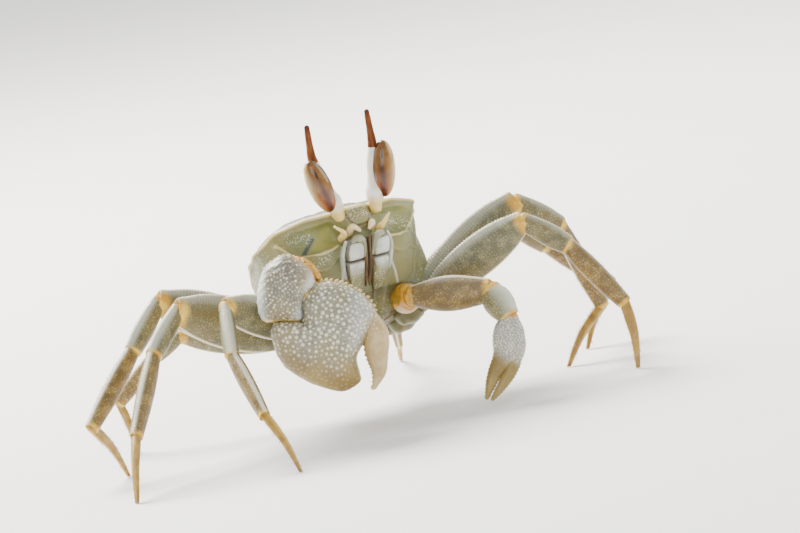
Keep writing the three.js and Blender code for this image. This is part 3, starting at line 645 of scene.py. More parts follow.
sole_finish, tree, shader = new_finish("smooth_underside")
tone = blend_hues(tree, mottle_on(tree, 170, 4, 0.4, 0.62), "5d5834", "716b41")
tone = laid_on(tree, tone, "groove", 0.2, 0.9, 0.75, "6d5128")
tone = laid_on(tree, tone, "grain", 0.3, 0.9, 0.35, "c3bf9a")
shell_gloss(shader, 0.36, 0.25)
colour_and_bump(tree, shader, tone, noise_on(tree, 1800, 3), 0.00008)
hold(plastron, "sole", sole_finish, "plastron")


def bump_at(value, middle, half):
    """1 where a value is at the middle, falling to nothing over about half to each side."""
    return np.exp(-((value - middle) / half) ** 2)


def along_path(points, t):
    """Places and directions at shares t of the length of a smooth path through the points."""
    fine = smooth_row(points, np.linspace(0, 1, PATH_STEPS))
    run = run_along(fine)
    ways = np.gradient(fine, axis=0)
    ways /= np.linalg.norm(ways, axis=1)[:, None]
    far = np.clip(t, 0, 1) * run[-1]
    way = points_at(far, run, ways)
    way /= np.linalg.norm(way, axis=1)[:, None]
    return points_at(far, run, fine), way, run[-1]


def draw_limb(name, path, deep, wide, up, columns, rows, edge=2.0, cupped=True, root_part=0.08, end_part=0.1):
    """A limb plate: a sphere drawn out along a path, with half depths and half breadths from root to
    tip. Its root is domed; its far end is a cup that holds the next plate's root, or is domed too.
    An edge under 2 gives it keels. Returns the piece and each corner's mm along it, share along it,
    and how far it is to the upper side and to the broad side, and 1 where it is clear of both ends."""
    piece, share, turn = sphere_net(name, columns, rows)
    body = np.clip((share - root_part) / (1 - root_part - end_part), 0, 1)
    centre, forward, length = along_path(path, body)
    phase = np.clip(share / root_part, 0, 1) * math.pi / 2
    end = np.clip((share - 1 + end_part) / end_part, 0, 1)
    root_size, end_size = min(deep[0], wide[0]), min(deep[-1], wide[-1])
    if cupped:
        out = np.interp(end, LIP_AT, LIP_OUT)
        past = np.interp(end, LIP_AT, LIP_ON) * end_size / LIP_HALF
    else:
        out = np.cos(end * math.pi / 2)
        past = np.sin(end * math.pi / 2) * end_size
    out = np.where(share < root_part, np.sin(phase), out)
    past = np.where(share < root_part, -np.cos(phase) * root_size * ROOT_DOME, past)
    up = np.asarray(up, float)
    up_way = up - forward * (forward @ up)[:, None]
    up_way /= np.linalg.norm(up_way, axis=1)[:, None]
    broad_way = np.cross(forward, up_way)
    upper, broad = np.sin(turn), np.cos(turn)
    section = (np.abs(upper) ** edge + np.abs(broad) ** edge) ** (-1 / edge)
    size = section * out
    spots = centre + forward * past[:, None]
    spots = spots + up_way * (upper * size * smooth_row(deep, body))[:, None]
    spots = spots + broad_way * (broad * size * smooth_row(wide, body))[:, None]
    place_corners(piece, spots + STAND)
    face_outwards(piece)
    ends = (step(share, root_part * 0.6, root_part * 1.3)
            * (1 - step(share, 1 - end_part * 1.2, 1 - end_part * 0.8)))
    return piece, body * length, body, upper, broad, ends


def from_trunk(spot):
    """A place in the trunk's frame as a place in the limbs' frame."""
    return out_of_trunk([spot])[0] - STAND


abdomen, run, along, upper, broad, ends = draw_limb(
    "folded_abdomen", [from_trunk([0, f, u]) for f, u in ABDOMEN_LINE],
    [.6, .9, .9, .9, .9, .9, .6], [4.6, 5.2, 4.2, 3.2, 2.7, 2.3, 1.3],
    from_trunk([0, -0.4, -1]) - from_trunk([0, 0, 0]), 56, 150, cupped=False)
seams = sum(bump_at(along, joint, 0.008) for joint in ABDOMEN_JOINTS)
raise_skin(abdomen, -0.3 * seams)
mark(abdomen, groove=seams, grain=0)
hold(abdomen, "sole", sole_finish, "abdomen")

# ------------------------------------------------------------------ walking legs
# Eight jointed legs, each of four tubes of thin shell: a broad flat upper leg with keeled edges, a
# short knee piece, a slender shin and a ridged horny toe. Each plate's root sits in the cup before it.
HIPS = {1: [8.5, 8.5, -11.3], 2: [11.5, 4, -13], 3: [12.5, -2, -13], 4: [12, -8, -12], 5: [9, -13, -10.5]}
HIP_PLATES = (  # name, mm from the hip to its root and tip, half depths and half breadths
    ("hip", -3.2, 1.2, [2.4, 3.3, 3.0], [2.3, 3.2, 2.9]),
    ("ring", -0.5, 3.6, [2.2, 2.6, 2.7], [2.1, 2.4, 2.4]))
LEGS = {  # pair, side, size, breadth; then length, bearing and slope of each plate
    "leg_right_1": (2, -1, .93, .78, (30, -80, 24), (11.8, -31, -55), (18.4, -8, -42), (16.3, 8, -51)),
    "leg_right_2": (3, -1, 1.0, 1.0, (36.5, -88, 24), (12.9, -67, -35), (21.6, -53, -43), (17.4, -39, -47)),
    "leg_right_3": (4, -1, .98, .94, (37.4, -95, 28), (13, -80, -43), (21.9, -71, -38), (17.5, -62, -129)),
    "leg_right_4": (5, -1, .72, .62, (28.2, -117, 14), (8.6, -114, -29), (12.9, -114, -44),
                    (11.8, -114, -99)),
    "leg_left_1": (2, 1, .98, .78, (32.7, 56, 29), (11.6, 56, -38), (18.6, 55, -55), (15.9, 55, -88)),
    "leg_left_2": (3, 1, 1.0, .96, (37.1, 73, 34), (12.7, 83, -38), (22.4, 86, -70), (17.5, 91, -137)),
    "leg_left_3": (4, 1, .98, .94, (37.4, 84, 27), (13, 90, -41), (21.9, 94, -38), (17.5, 97, -129)),
    "leg_left_4": (5, 1, .72, .62, (24.9, 138, 8), (8.5, 144, -43), (12.9, 148, -52), (12, 151, -29))}
PLATES = {  # half depths, half breadths, columns and rows of corners, edge, how golden
    "merus": ([1.9, 2.6, 4.7, 5.7, 5.8, 4.9, 3.0], [1.8, 2.0, 2.5, 2.7, 2.6, 2.4, 2.0], 80, 260, 1.62, 0.22),
    "carpus": ([1.75, 2.3, 2.5, 2.15], [1.5, 1.85, 1.95, 1.8], 56, 90, 1.9, 0.3),
    "propodus": ([1.7, 2.2, 2.15, 1.65], [1.45, 1.75, 1.65, 1.35], 56, 170, 2.5, 1.0),
    "dactyl": ([1.25, 1.3, 1.05, .75, .45], [1.1, 1.1, .9, .7, .45], 40, 90, 1.8, 1.0)}
CHALKY = {  # how far up the side the chalky bloom begins and is full, and how strong it is
    "merus": (0.5, 1.0, 0.45), "carpus": (0.45, 1.0, 0.7), "propodus": (0.88, 1.0, 0.6)}
CHALKY_ON_LEFT = 0.4                       # share of that on the left legs' lower plates
BANDED = {  # mm between the fine bands, mm that they stand up, and how dark it is between them
    "merus": (0.72, 0.05, 0.3), "carpus": (0.66, 0.015, 0.1), "propodus": (0.66, 0.015, 0.1)}
LEG_GRANULES = (0.54, 0.3)
LAP = 0.5                                  # mm that a plate's root goes into the cup before it
FOOT_LOW = 1.1                             # mm that a toe runs on below the floor before it is cut flat
BRISTLY = ("propodus", "dactyl")
BRISTLES_PER_PLATE = 110

leg_finish, tree, shader = new_finish("striated_leg_shell")
mottle = mottle_on(tree, 420, 4, 0.4, 0.62)
knee_gold = blend_hues(tree, mottle, "cc981c", "e6c24c")
green = blend_hues(tree, mottle, "55573d", "70714f")
green = blend_hues(tree, mottle_on(tree, 110, 3, 0.42, 0.6), green, "6e6640")
amber = blend_hues(tree, mottle, "664a0a", "836214")
tone = blend_hues(tree, reading(tree, "gold"), green, amber)
tone = blend_hues(tree, reading(tree, "chalk"), tone, "cbd1c0")
tone = blend_hues(tree, reading(tree, "shade"), tone, "55523a")
tone = laid_on(tree, tone, "grain", 0.1, 0.9, 0.6, "b3ad84")
dust = times(tree, specks(tree, 2100, 0.42), spread(tree, mottle, 0.2, 0.8, 0.05, 0.32))
tone = blend_hues(tree, dust, tone, "c9c6a4")
tone = laid_on(tree, tone, "knee", 0.1, 0.9, 0.95, knee_gold)
tone = laid_on(tree, tone, "pale", 0.15, 0.85, 0.85, "d8cdb2")
shell_gloss(shader, 0.4, 0.3, (1.0, 0.7, 0.3))
colour_and_bump(tree, shader, tone, noise_on(tree, 3000, 3), 0.0001)

toe_finish, tree, shader = new_finish("horny_toe")
tone = blend_hues(tree, mottle_on(tree, 500, 4, 0.35, 0.65), "866414", "a38029")
tone = laid_on(tree, tone, "pale", 0.2, 0.9, 0.5, "cbab5e")
tone = laid_on(tree, tone, "along", 0.86, 1.0, 0.8, "5f4120")
shell_gloss(shader, 0.33, 0.5, (1.0, 0.65, 0.25), coat=0.15)
colour_and_bump(tree, shader, tone, noise_on(tree, 2500, 2), 0.00006)

skin_finish, tree, shader = new_finish("amber_joint_skin")
fold = noise_on(tree, 900, 4)
tone = blend_hues(tree, spread(tree, fold, 0.35, 0.65), "a67613", "cfa134")
shell_gloss(shader, 0.35, 0.5, (1.0, 0.5, 0.15), coat=0.2)
colour_and_bump(tree, shader, tone, fold, 0.0002)


def bearing(turn, slope):
    """A direction from its compass bearing, from straight ahead to the crab's left, and its slope."""
    turn, slope = math.radians(turn), math.radians(slope)
    return np.array([math.sin(turn) * math.cos(slope), -math.cos(turn) * math.cos(slope), math.sin(slope)])


def hip_at(pair, out_side):
    """Where a pair's limb leaves the body, on the crab's right (-1) or left (1)."""
    side, forward, up = HIPS[pair]
    return from_trunk([side * out_side, forward, up])


def cut_at_floor(piece):
    """Cuts a toe off level with the floor, and closes it with a small flat."""
    edit_all(piece)
    bpy.ops.mesh.bisect(plane_co=(0, 0, 0), plane_no=(0, 0, -1), use_fill=True, clear_outer=True,
                        threshold=1e-6)
    bpy.ops.object.mode_set(mode="OBJECT")


def joint_skin(place, radii, way):
    """A soft swelling that closes a joint, longest along the limb."""
    piece = sphere_net("joint_skin", 24, 16)[0]
    turned = np.array(Vector(way).to_track_quat("Z", "Y").to_matrix())
    place_corners(piece, (corners(piece) * radii) @ turned.T + np.asarray(place) + STAND)
    face_outwards(piece)
    return piece


def join_pieces(pieces, name):
    """Joins pieces into the first one and names it."""
    bpy.ops.object.select_all(action="DESELECT")
    for piece in pieces:
        piece.select_set(True)
    bpy.context.view_layer.objects.active = pieces[0]
    bpy.ops.object.join()
    pieces[0].name = pieces[0].data.name = name
    return pieces[0]


skins = []
bristles = []                              # for each bristly plate: the roots, ways and map places
for at_leg, (leg, (pair, out_side, size, breadth, *plates)) in enumerate(LEGS.items()):
    root = hip_at(pair, out_side)
    way = bearing(*plates[0][1:])
    for name, start, stop, deep, wide in HIP_PLATES:
        piece, *_ = draw_limb(f"{leg}_{name}", [root + start * way, root + stop * way],
                              [d * size for d in deep], [w * size for w in wide], (0, 0, 1), 40, 40)
        mark(piece, grain=0, groove=0)
        hold(piece, "sole", sole_finish)
    for plate, (length, turn_to, slope) in zip(PLATES, plates):
        deep, wide, columns, rows, edge, gold = PLATES[plate]
        is_merus = plate == "merus"
        is_toe = plate == "dactyl"
        way = bearing(turn_to, slope)
        tip = root + length * way
        factor = breadth if is_merus else size
        up = bearing(turn_to, 0) if abs(way[2]) > 0.9 else np.array([0, 0, 1.0])
        lap = LAP * size * way
        path = [root - lap, tip + lap * 0.4]
        if is_toe:
            sag = np.cross(np.cross([0, 0, 1.0], way), way)
            sag /= np.linalg.norm(sag)
            path = [root - lap, (root + tip) / 2 - 0.05 * length * sag,
                    np.array([tip[0], tip[1], -FOOT_LOW])]
        piece, run, along, upper, broad, ends = draw_limb(
            f"{leg}_{plate}_shell", path, [d * factor for d in deep], [w * size for w in wide],
            up, columns, rows, edge=edge, cupped=not is_toe)
        spots = corners(piece) / MM
        outward = outward_ways(piece)
        if is_toe:
            raise_skin(piece, -0.12 * bump_at(np.abs(broad), 0.72, 0.16) * ends * size)
            mark(piece, pale=bump_at(np.abs(upper), 1, 0.1), along=along)
            cut_at_floor(piece)
            finish, slot_name = toe_finish, "toe"
        else:
            band_gap, band_high, band_dark = BANDED[plate]
            chalk_low, chalk_high, chalk_most = CHALKY[plate]
            if out_side > 0 and not is_merus:
                chalk_most *= CHALKY_ON_LEFT
            upper_edge = bump_at(upper, 1, 0.05) * ends
            lower_edge = bump_at(upper, -1, 0.035) * ends
            wander = (0.5 * np.sin(3.1 * np.arctan2(broad, upper) + run * 0.23)
                      + 0.3 * np.sin(run * 1.7 + 5 * broad))
            bands = 0.5 + 0.5 * np.sin(2 * math.pi * (run / band_gap) + 2.2 * wander)
            dots = granules(spots, *LEG_GRANULES, allowed=ends > 0.3)
            grain = dots * (0.4 + 0.6 * bands) * ends
            height = 0.06 * grain + band_high * bands * ends * (1 - 0.5 * np.abs(upper))
            height += 0.16 * upper_edge * (0.5 + bands) + 0.18 * lower_edge
            raise_skin(piece, height)
            on_top = step(upper, 0.2, 1.0)
            knee = step(along, 0.9, 0.985) * 0.9 if is_merus else step(along, 0.93, 1.0)
            root_gold = 1 - step(along, 0.0, 0.03 if is_merus else 0.12) - 0.3 * on_top
            knee = np.maximum(knee * (1 - 0.5 * on_top), root_gold)
            mark(piece, grain=grain, gold=gold * (0.8 + 0.2 * step(-upper, -0.6, 0.6)),
                 chalk=step(upper, chalk_low, chalk_high) * chalk_most,
                 shade=band_dark * (1 - bands) * ends, knee=np.clip(knee, 0, 1),
                 pale=np.maximum(upper_edge * (0.45 + 0.5 * bands), 0.8 * lower_edge))
            finish, slot_name = leg_finish, "leg"
            end_deep, end_wide = deep[-1] * factor, wide[-1] * size
            skins.append(joint_skin(tip - 0.2 * way, (end_wide * 0.8, end_wide * 0.8, end_deep * 0.48), way))
        if plate in BRISTLY:
            margin = np.flatnonzero((np.abs(upper) > 0.8) & (along > 0.1) & (along < 0.86))
            chosen = random_state.choice(margin, BRISTLES_PER_PLATE, replace=False)
            ways = outward[chosen] + (0.6 + 0.6 * random_state.random((len(chosen), 1))) * way
            around = np.arctan2(broad, upper)[chosen] / (2 * math.pi) % 1
            map_across = (at_leg + (0.5 if is_toe else 0.0) + 0.48 * around) / len(LEGS)
            bristles.append((spots[chosen], ways / np.linalg.norm(ways, axis=1)[:, None],
                             np.stack([map_across, along[chosen]], axis=1)))
        hold(piece, slot_name, finish, f"{leg}_{plate}")
        root = tip
hold(join_pieces(skins, "leg_joint_skins"), "membrane", skin_finish)

# ------------------------------------------------------------------ leg bristles
# Short stiff golden hairs stand along the upper and lower edges of the shins and toes. Each is a
# slim tapered spike of the same horny stuff as the shell, rooted in it and leaning towards the toe.
BRISTLE_SHORTEST = 0.55
BRISTLE_LONGEST = 1.15
BRISTLE_HALF = 0.045
BRISTLE_ROOTED = 0.4                       # shifts the cone, so a tenth of it stands in the shell
BRISTLE_ON_MAP = 0.0015                    # half width of each bristle's own place on its UV map
FLOOR_GAP = 0.1                            # mm that a bristle's tip stays above the floor

bristle_finish, tree, shader = new_finish("golden_bristle")
tone = blend_hues(tree, mottle_on(tree, 600, 2, 0.4, 0.6), "8c6a2a", "b8964e")
tree.links.new(tone, shader.inputs["Base Color"])
shell_gloss(shader, 0.45, 0.2, (1.0, 0.7, 0.3))

roots, ways, unwrap = (np.concatenate(rows) for rows in zip(*bristles))
bpy.ops.object.select_all(action="DESELECT")
bpy.ops.mesh.primitive_cone_add(vertices=5, radius1=1.0, radius2=0.0, depth=1.0)
bristle = bpy.context.object
cone = corners(bristle) + [0, 0, BRISTLE_ROOTED]
sides = [tuple(face.vertices) for face in bristle.data.polygons]
across = np.cross(ways, [0.31, 0.87, 0.38])
across /= np.linalg.norm(across, axis=1)[:, None]
third = np.cross(ways, across)
long = BRISTLE_SHORTEST + (BRISTLE_LONGEST - BRISTLE_SHORTEST) * random_state.random(len(roots))
ring = cone[None, :, :1] * across[:, None] + cone[None, :, 1:2] * third[:, None]
spots = roots[:, None] + BRISTLE_HALF * ring + cone[None, :, 2:] * ways[:, None] * long[:, None, None]
spots[:, :, 2] = np.maximum(spots[:, :, 2], FLOOR_GAP)
faces = [tuple(corner + n * len(cone) for corner in side) for n in range(len(roots)) for side in sides]
net = bpy.data.meshes.new("leg_bristles")
net.from_pydata((spots.reshape(-1, 3) * MM).tolist(), [], faces)
bristle.data = net
bristle.name = "leg_bristles"
bake = net.uv_layers.new(name="OFBake")
owner = np.empty(len(net.loops), dtype=np.int32)
net.loops.foreach_get("vertex_index", owner)
patch = BRISTLE_ON_MAP * cone[owner % len(cone), :2]
bake.data.foreach_set("uv", (unwrap[owner // len(cone)] + patch).ravel())
bpy.context.view_layer.objects.active = bristle
bpy.ops.object.shade_smooth()
hold(bristle, "bristle", bristle_finish)

# ------------------------------------------------------------------ large claw
# The right claw is the big one: a short wrist piece and a broad flat hand, in thick shell set with
# white knobs. The hand runs on into a fixed finger; the other finger is hinged at its upper corner.
CLAW_OUTWARD = bearing(-30, 9)
CLAW_TILT = Matrix.Rotation(math.radians(-10), 3, Vector(CLAW_OUTWARD))
CLAW_ACROSS = np.array(CLAW_TILT @ Vector(bearing(60, 0)))
CLAW_UPWARD = np.cross(CLAW_OUTWARD, CLAW_ACROSS)
CLAW_AXES = np.array([CLAW_ACROSS, CLAW_UPWARD, CLAW_OUTWARD])
ISCHIUM_END = np.array([-11.6, -4.0, 26.6])
ELBOW = np.array([-25.6, -3.8, 33.0])
WRIST_AT = np.array([-25.6, -5.3, 35.6])
HAND_AT = np.array([-20.2, -10.8, 24.3])
WRIST_OUTLINE = [[-2.6, 6.5], [.3, 7.9], [4.3, 6.1], [6.4, 3.9], [6.7, 1.0], [4.3, -2.0], [3.8, -7.0],
                 [-1.6, -7.0], [-4.9, -6.5], [-5.9, -1.6], [-4.7, 4.1]]
WRIST_MARGIN = [[6.0, 4.4], [4.3, 6.2], [2.0, 7.3], [.3, 7.9], [-2.6, 6.6], [-4.7, 4.2]]
WRIST_GOLD = [[2.6, 7.2, 0], [5.4, 5.2, 0], [6.8, 2.6, 0]]
WRIST_SKIN = [[1.6, 7.2, -1.6], [4.4, 6.2, -1.4], [6.5, 4.4, -1.2], [7.9, 2.2, -1.2], [8.9, .6, -1.4]]
HAND_OUTLINE = [[-5.2, 7.2], [-3.7, 9.9], [-2.0, 11.4], [1.2, 11.8], [4.7, 10.9], [7.6, 9.2], [9.7, 7.3],
                [11.0, 4.8], [10.3, 2.0], [8.8, -1.3], [7.0, -4.9], [7.6, -8.1], [7.8, -10.3], [5.0, -12.3],
                [2.2, -12.5], [-2.5, -11.1], [-5.8, -9.4], [-8.9, -7.3], [-10.8, -4.5], [-11.8, -1.1],
                [-12.1, .9], [-11.4, 2.5], [-8.8, 2.9], [-5.6, 2.8], [-4.9, 4.3]]
HAND_RIM = [[-5.0, 3.6, 0], [-5.3, 7.0, 0], [-3.9, 9.8, 0]]
HAND_HOLLOW = [[-7.5, -3.6, 0], [-1.5, -7.6, 0], [4.0, -8.6, 0]]
UPPER_MARGIN = [[-3.4, 10.3], [-1.8, 11.5], [1.3, 11.9], [4.8, 10.95], [7.7, 9.2], [9.9, 7.3], [11.2, 4.8]]
LOWER_MARGIN = [[-12.2, 1.0], [-11.9, -1.1], [-10.9, -4.5], [-9.0, -7.3], [-5.9, -9.4], [-2.6, -11.1]]
FINGER_LINE = [[9.6, 4.2, 0], [11.2, .6, 0], [11.4, -4.0, 0], [11.9, -8.0, 0], [10.9, -11.6, 0]]
FINGER_MARGIN = [[11.2, 4.4], [12.7, 2.2], [13.5, -.6], [13.75, -3.2], [13.5, -5.6]]
OUTLINE_STEPS = 1200                       # steps in which an outline is drawn
ISCHIUM_GRANULES = (0.7, 0.4)
MERUS_GRANULES = (0.7, 0.42)
WRIST_KNOBS = (0.62, 0.37)
HAND_KNOBS = (0.9, 0.54)
HAND_GRANULES = (0.5, 0.26)
FINGER_GRANULES = (0.8, 0.42)
WRIST_SPINES = (1.1, -0.6, 0.45)           # mm between, mm tall, half width and lean; the wrist's
UPPER_SPINES = (1.1, 1.15, 0.6, 0.35)      # height is below 0, as its margin runs the other way
LOWER_SPINES = (0.8, 0.4, 0.4)
FINGER_SPINES = (0.95, 0.7, 0.45, 0.3)

claw_finish, tree, shader = new_finish("knobbed_claw_shell")
patches = mottle_on(tree, 130, 2, 0.4, 0.65)
net_grey = blend_hues(tree, mottle_on(tree, 700, 3, 0.38, 0.62), "7b796a", "979585")
net_grey = blend_hues(tree, patches, net_grey, "938b68")
cream = blend_hues(tree, patches, "7a6226", "8f793c")
tone = blend_hues(tree, reading(tree, "cream"), net_grey, cream)
tone = blend_hues(tree, reading(tree, "chalk"), tone, "cdd3d4")
tone = blend_hues(tree, reading(tree, "shade"), tone, "5f5540")
tone = laid_on(tree, tone, "grain", 0.02, 0.75, 0.85, "dcd7c0")
# Painted highlight: white specks on the chalky bloom stand in for glints of light.
tone = blend_hues(tree, times(tree, reading(tree, "chalk"), specks(tree, 2500, 0.4)), tone, "eff1ef")
tone = laid_on(tree, tone, "pale", 0.2, 0.9, 0.85, "cfb35e")
tone = laid_on(tree, tone, "knee", 0.1, 1.0, 1, "bd8020")
shell_gloss(shader, 0.38, 0.35, (1.0, 0.8, 0.5), coat=0.1)
colour_and_bump(tree, shader, tone, noise_on(tree, 2600, 3), 0.0001)

finger_finish, tree, shader = new_finish("smooth_finger_shell")
tone = blend_hues(tree, mottle_on(tree, 240, 3, 0.4, 0.62), "ad9362", "bfa97c")
tone = laid_on(tree, tone, "grain", 0.3, 0.9, 0.7, "e2decb")
tone = laid_on(tree, tone, "pale", 0.2, 0.9, 0.6, "c9b074")
shell_gloss(shader, 0.32, 0.45, (1.0, 0.8, 0.55), coat=0.15)
colour_and_bump(tree, shader, tone, noise_on(tree, 1800, 2), 0.00006)

amber_finish, tree, shader = new_finish("amber_claw_root")
swirl = tree.nodes.new("ShaderNodeTexNoise")
swirl.inputs["Scale"].default_value = 210
swirl.inputs["Detail"].default_value = 3
swirl.inputs["Distortion"].default_value = 2.2
own_place = tree.nodes.new("ShaderNodeTexCoord")
tree.links.new(own_place.outputs["Object"], swirl.inputs["Vector"])
tone = blend_hues(tree, spread(tree, swirl.outputs["Fac"], 0.34, 0.52), "7c6c24", "b97f10")
tone = blend_hues(tree, spread(tree, swirl.outputs["Fac"], 0.52, 0.68), tone, "dab245")
tone = laid_on(tree, tone, "grain", 0.3, 0.9, 0.4, "d8cfa0")
shell_gloss(shader, 0.3, 0.3, (1.0, 0.6, 0.2), coat=0.25)
colour_and_bump(tree, shader, tone, swirl.outputs["Fac"], 0.0003)


def on_claw(spot, middle):
    """A place across, up and out from a plate's middle as a place in the limbs' frame."""
    return np.array(spot) @ CLAW_AXES + middle


def closed_curve(points, count):
    """Evenly spaced points round a smooth closed curve."""
    points = np.asarray(points, float)
    wrapped = np.vstack([points[-1:], points, points[:2]])
    t = np.linspace(1, len(points) + 1, OUTLINE_STEPS, endpoint=False) / (len(wrapped) - 1)
    fine = smooth_row(wrapped, t)
    fine = np.vstack([fine, fine[:1]])
    run = run_along(fine)
    return points_at(np.arange(count) * run[-1] / count, run, fine)


def draw_slab(name, outline, axes, middle, outer, inner, columns, rows, squareness=2.4):
    """A rounded slab: a sphere pressed to an outline across and up its own plane, and domed on both
    faces. Returns the piece and each corner's place across, up and outwards in its plane, in mm."""
    piece, share, turn = sphere_net(name, columns, rows)
    loop = closed_curve(outline, columns)
    column = column_of(turn, columns)
    out = np.sin(share * math.pi)
    rise = (1 - np.clip(out, 0, 1) ** squareness) ** (1 / squareness)
    own = np.stack([loop[column, 0] * out, loop[column, 1] * out,
                    np.where(share <= 0.5, rise * outer, -rise * inner)], axis=1)
    place_corners(piece, own @ axes + middle + STAND)
    face_outwards(piece)
    return piece, own


def spine_row(name, line, middle, spacing, height, radius, lean=0.0):
    """A row of short blunt spines along an edge of the claw, each a small cone that points out from
    the edge, leaning along it."""
    line = np.asarray(line, float)
    run = run_along(line)
    spines = []
    for stop in np.arange(spacing / 2, run[-1], spacing):
        spot, beyond = (np.array([*place, 0.0]) for place in points_at([stop, stop + 0.3], run, line))
        ahead = beyond - spot
        ahead /= max(np.linalg.norm(ahead), 1e-6)
        out = np.array([-ahead[1], ahead[0], 0.0]) + lean * ahead
        tall = height * (0.75 + 0.5 * random_state.random())
        wide = radius * (0.85 + 0.3 * random_state.random())
        spot = spot + [0, 0, 0.5 * (random_state.random() - 0.5)]
        bpy.ops.object.select_all(action="DESELECT")
        bpy.ops.mesh.primitive_cone_add(vertices=8, radius1=1.0, radius2=0.0, depth=1.0)
        spine = bpy.context.object
        edit_all(spine)
        bpy.ops.mesh.subdivide(number_cuts=1, smoothness=0.6)
        bpy.ops.object.mode_set(mode="OBJECT")
        own = (corners(spine) + [0, 0, 0.3]) * [wide, wide, tall]
        way = Vector(out @ CLAW_AXES).normalized()
        turned = np.array(way.to_track_quat("Z", "Y").to_matrix())
        place_corners(spine, own @ turned.T + spot @ CLAW_AXES + middle + STAND)
        face_outwards(spine)
        spines.append(spine)
    return join_pieces(spines, name)


def teeth_along(run, spacing):
    """Rounded teeth of 1 at even steps along a plate."""
    return np.clip(np.sin(run * 2 * math.pi / spacing), 0, 1)


claw_root = hip_at(1, -1)
piece, run, along, upper, broad, ends = draw_limb(
    "claw_right_ischium_shell", [claw_root, ISCHIUM_END], [2.4, 2.9, 2.8], [2.3, 2.7, 2.6], (0, 0, 1), 56, 60)
grain = granules(corners(piece) / MM, *ISCHIUM_GRANULES, allowed=ends > 0.3) * ends
raise_skin(piece, 0.05 * grain)
mark(piece, grain=grain)
hold(piece, "claw", amber_finish, "claw_right_ischium")

piece, run, along, upper, broad, ends = draw_limb(
    "claw_right_merus_shell", [ISCHIUM_END, ELBOW], [2.6, 3.1, 3.5, 3.6, 3.0], [2.3, 2.9, 3.2, 3.2, 2.7],
    (0, 0, 1), 64, 90, edge=1.8)
grain = granules(corners(piece) / MM, *MERUS_GRANULES, allowed=ends > 0.3) * ends
edge_line = bump_at(np.abs(upper), 1, 0.05) * ends
raise_skin(piece, 0.07 * grain + 0.15 * edge_line)
mark(piece, grain=grain, gold=0.3, chalk=0, knee=step(along, 0.85, 1), pale=edge_line, shade=0)
hold(piece, "claw", leg_finish, "claw_right_merus")

wrist, own = draw_slab("claw_right_carpus_shell", WRIST_OUTLINE, CLAW_AXES, WRIST_AT, 5.0, 3.9, 170, 96)
arcs = np.hypot(own[:, 0] - 4.5, own[:, 1] + 8.5)
bands = 0.5 + 0.5 * np.sin(2 * math.pi * arcs / 1.15)
grain = granules(own, *WRIST_KNOBS, vary=0.45) * (0.35 + 0.65 * bands)
toward_sides = step(-own[:, 0], 3.2, 5.6) + step(own[:, 0] - 0.4 * own[:, 1], 3.2, 6.4)
raise_skin(wrist, 0.16 * grain + 0.08 * bands + 0.1 * bump_at(own[:, 2], 0, 0.5))
mark(wrist, grain=grain,
     shade=0.6 * (1 - step(grain, 0.05, 0.5)) * step(-np.abs(own[:, 0] + 0.5), -5.0, -2.5),
     cream=step(own[:, 0], 1.5, 6.0) * 0.5 + step(-own[:, 1], 3.0, 6.5) * 0.4,
     chalk=np.clip(toward_sides, 0, 1) * 0.9, pale=step(-own[:, 1], 6.2, 6.9) * 0.9,
     knee=ridge(own * [1, 1, 0.4], WRIST_GOLD, 0.8))
hold(wrist, "claw", claw_finish, "claw_right_carpus")
spines = spine_row("claw_right_carpus_spines", WRIST_MARGIN, WRIST_AT, *WRIST_SPINES)
mark(spines, grain=0.5, cream=0.5)
hold(spines, "claw", claw_finish)

fold, run, along, upper, broad, ends = draw_limb(
    "claw_right_wrist_skin", [on_claw(spot, WRIST_AT) for spot in WRIST_SKIN],
    [.5, .9, 1.2, 1.1, .8, .5], [.5, .8, .9, .9, .7, .4], CLAW_OUTWARD, 40, 90, cupped=False)
raise_skin(fold, 0.12 * np.sin(run * 5.2 + 1.4 * np.sin(3 * np.arctan2(upper, broad))))
hold(fold, "membrane", skin_finish)

hand, own = draw_slab("claw_right_palm_shell", HAND_OUTLINE, CLAW_AXES, HAND_AT, 5.0, 4.0, 300, 170)
flat_own = own * [1, 1, 0.5]
toward_top = step(own[:, 1] + 0.25 * own[:, 0], -11.0, -0.5)
toward_finger = step(own[:, 0] - 0.45 * own[:, 1], 6.6, 10.0)
knobby = toward_top * (1 - toward_finger)
big = granules(own, *HAND_KNOBS, vary=0.4)
small = granules(own, *HAND_GRANULES, vary=0.3)
grain = np.maximum(big * (0.25 + 0.75 * knobby), 0.4 * small * knobby)
seam = ridge(flat_own, HAND_RIM, 0.5)
hinge = np.exp(-((own[:, 0] - 9.2) ** 2 + (own[:, 1] - 4.2) ** 2) / 3.0)
raise_skin(hand, 0.24 * big * knobby + 0.07 * big * (1 - knobby) + 0.1 * small * knobby + 0.3 * seam
           + 0.35 * hinge - 0.3 * ridge(flat_own, HAND_HOLLOW, 1.6))
mark(hand, grain=grain, shade=0.3 * (1 - step(grain, 0.0, 0.3)) * knobby,
     cream=np.clip(1 - toward_top + toward_finger, 0, 1), chalk=0.4 * step(own[:, 0], 4, 8) * knobby,
     pale=seam, knee=0)
hold(hand, "claw", claw_finish, "claw_right_palm")
spines = join_pieces([spine_row("upper", UPPER_MARGIN, HAND_AT, *UPPER_SPINES),
                      spine_row("lower", LOWER_MARGIN, HAND_AT, *LOWER_SPINES)], "claw_right_palm_spines")
mark(spines, grain=0.35, cream=0.5, pale=0.6)
hold(spines, "claw", claw_finish)

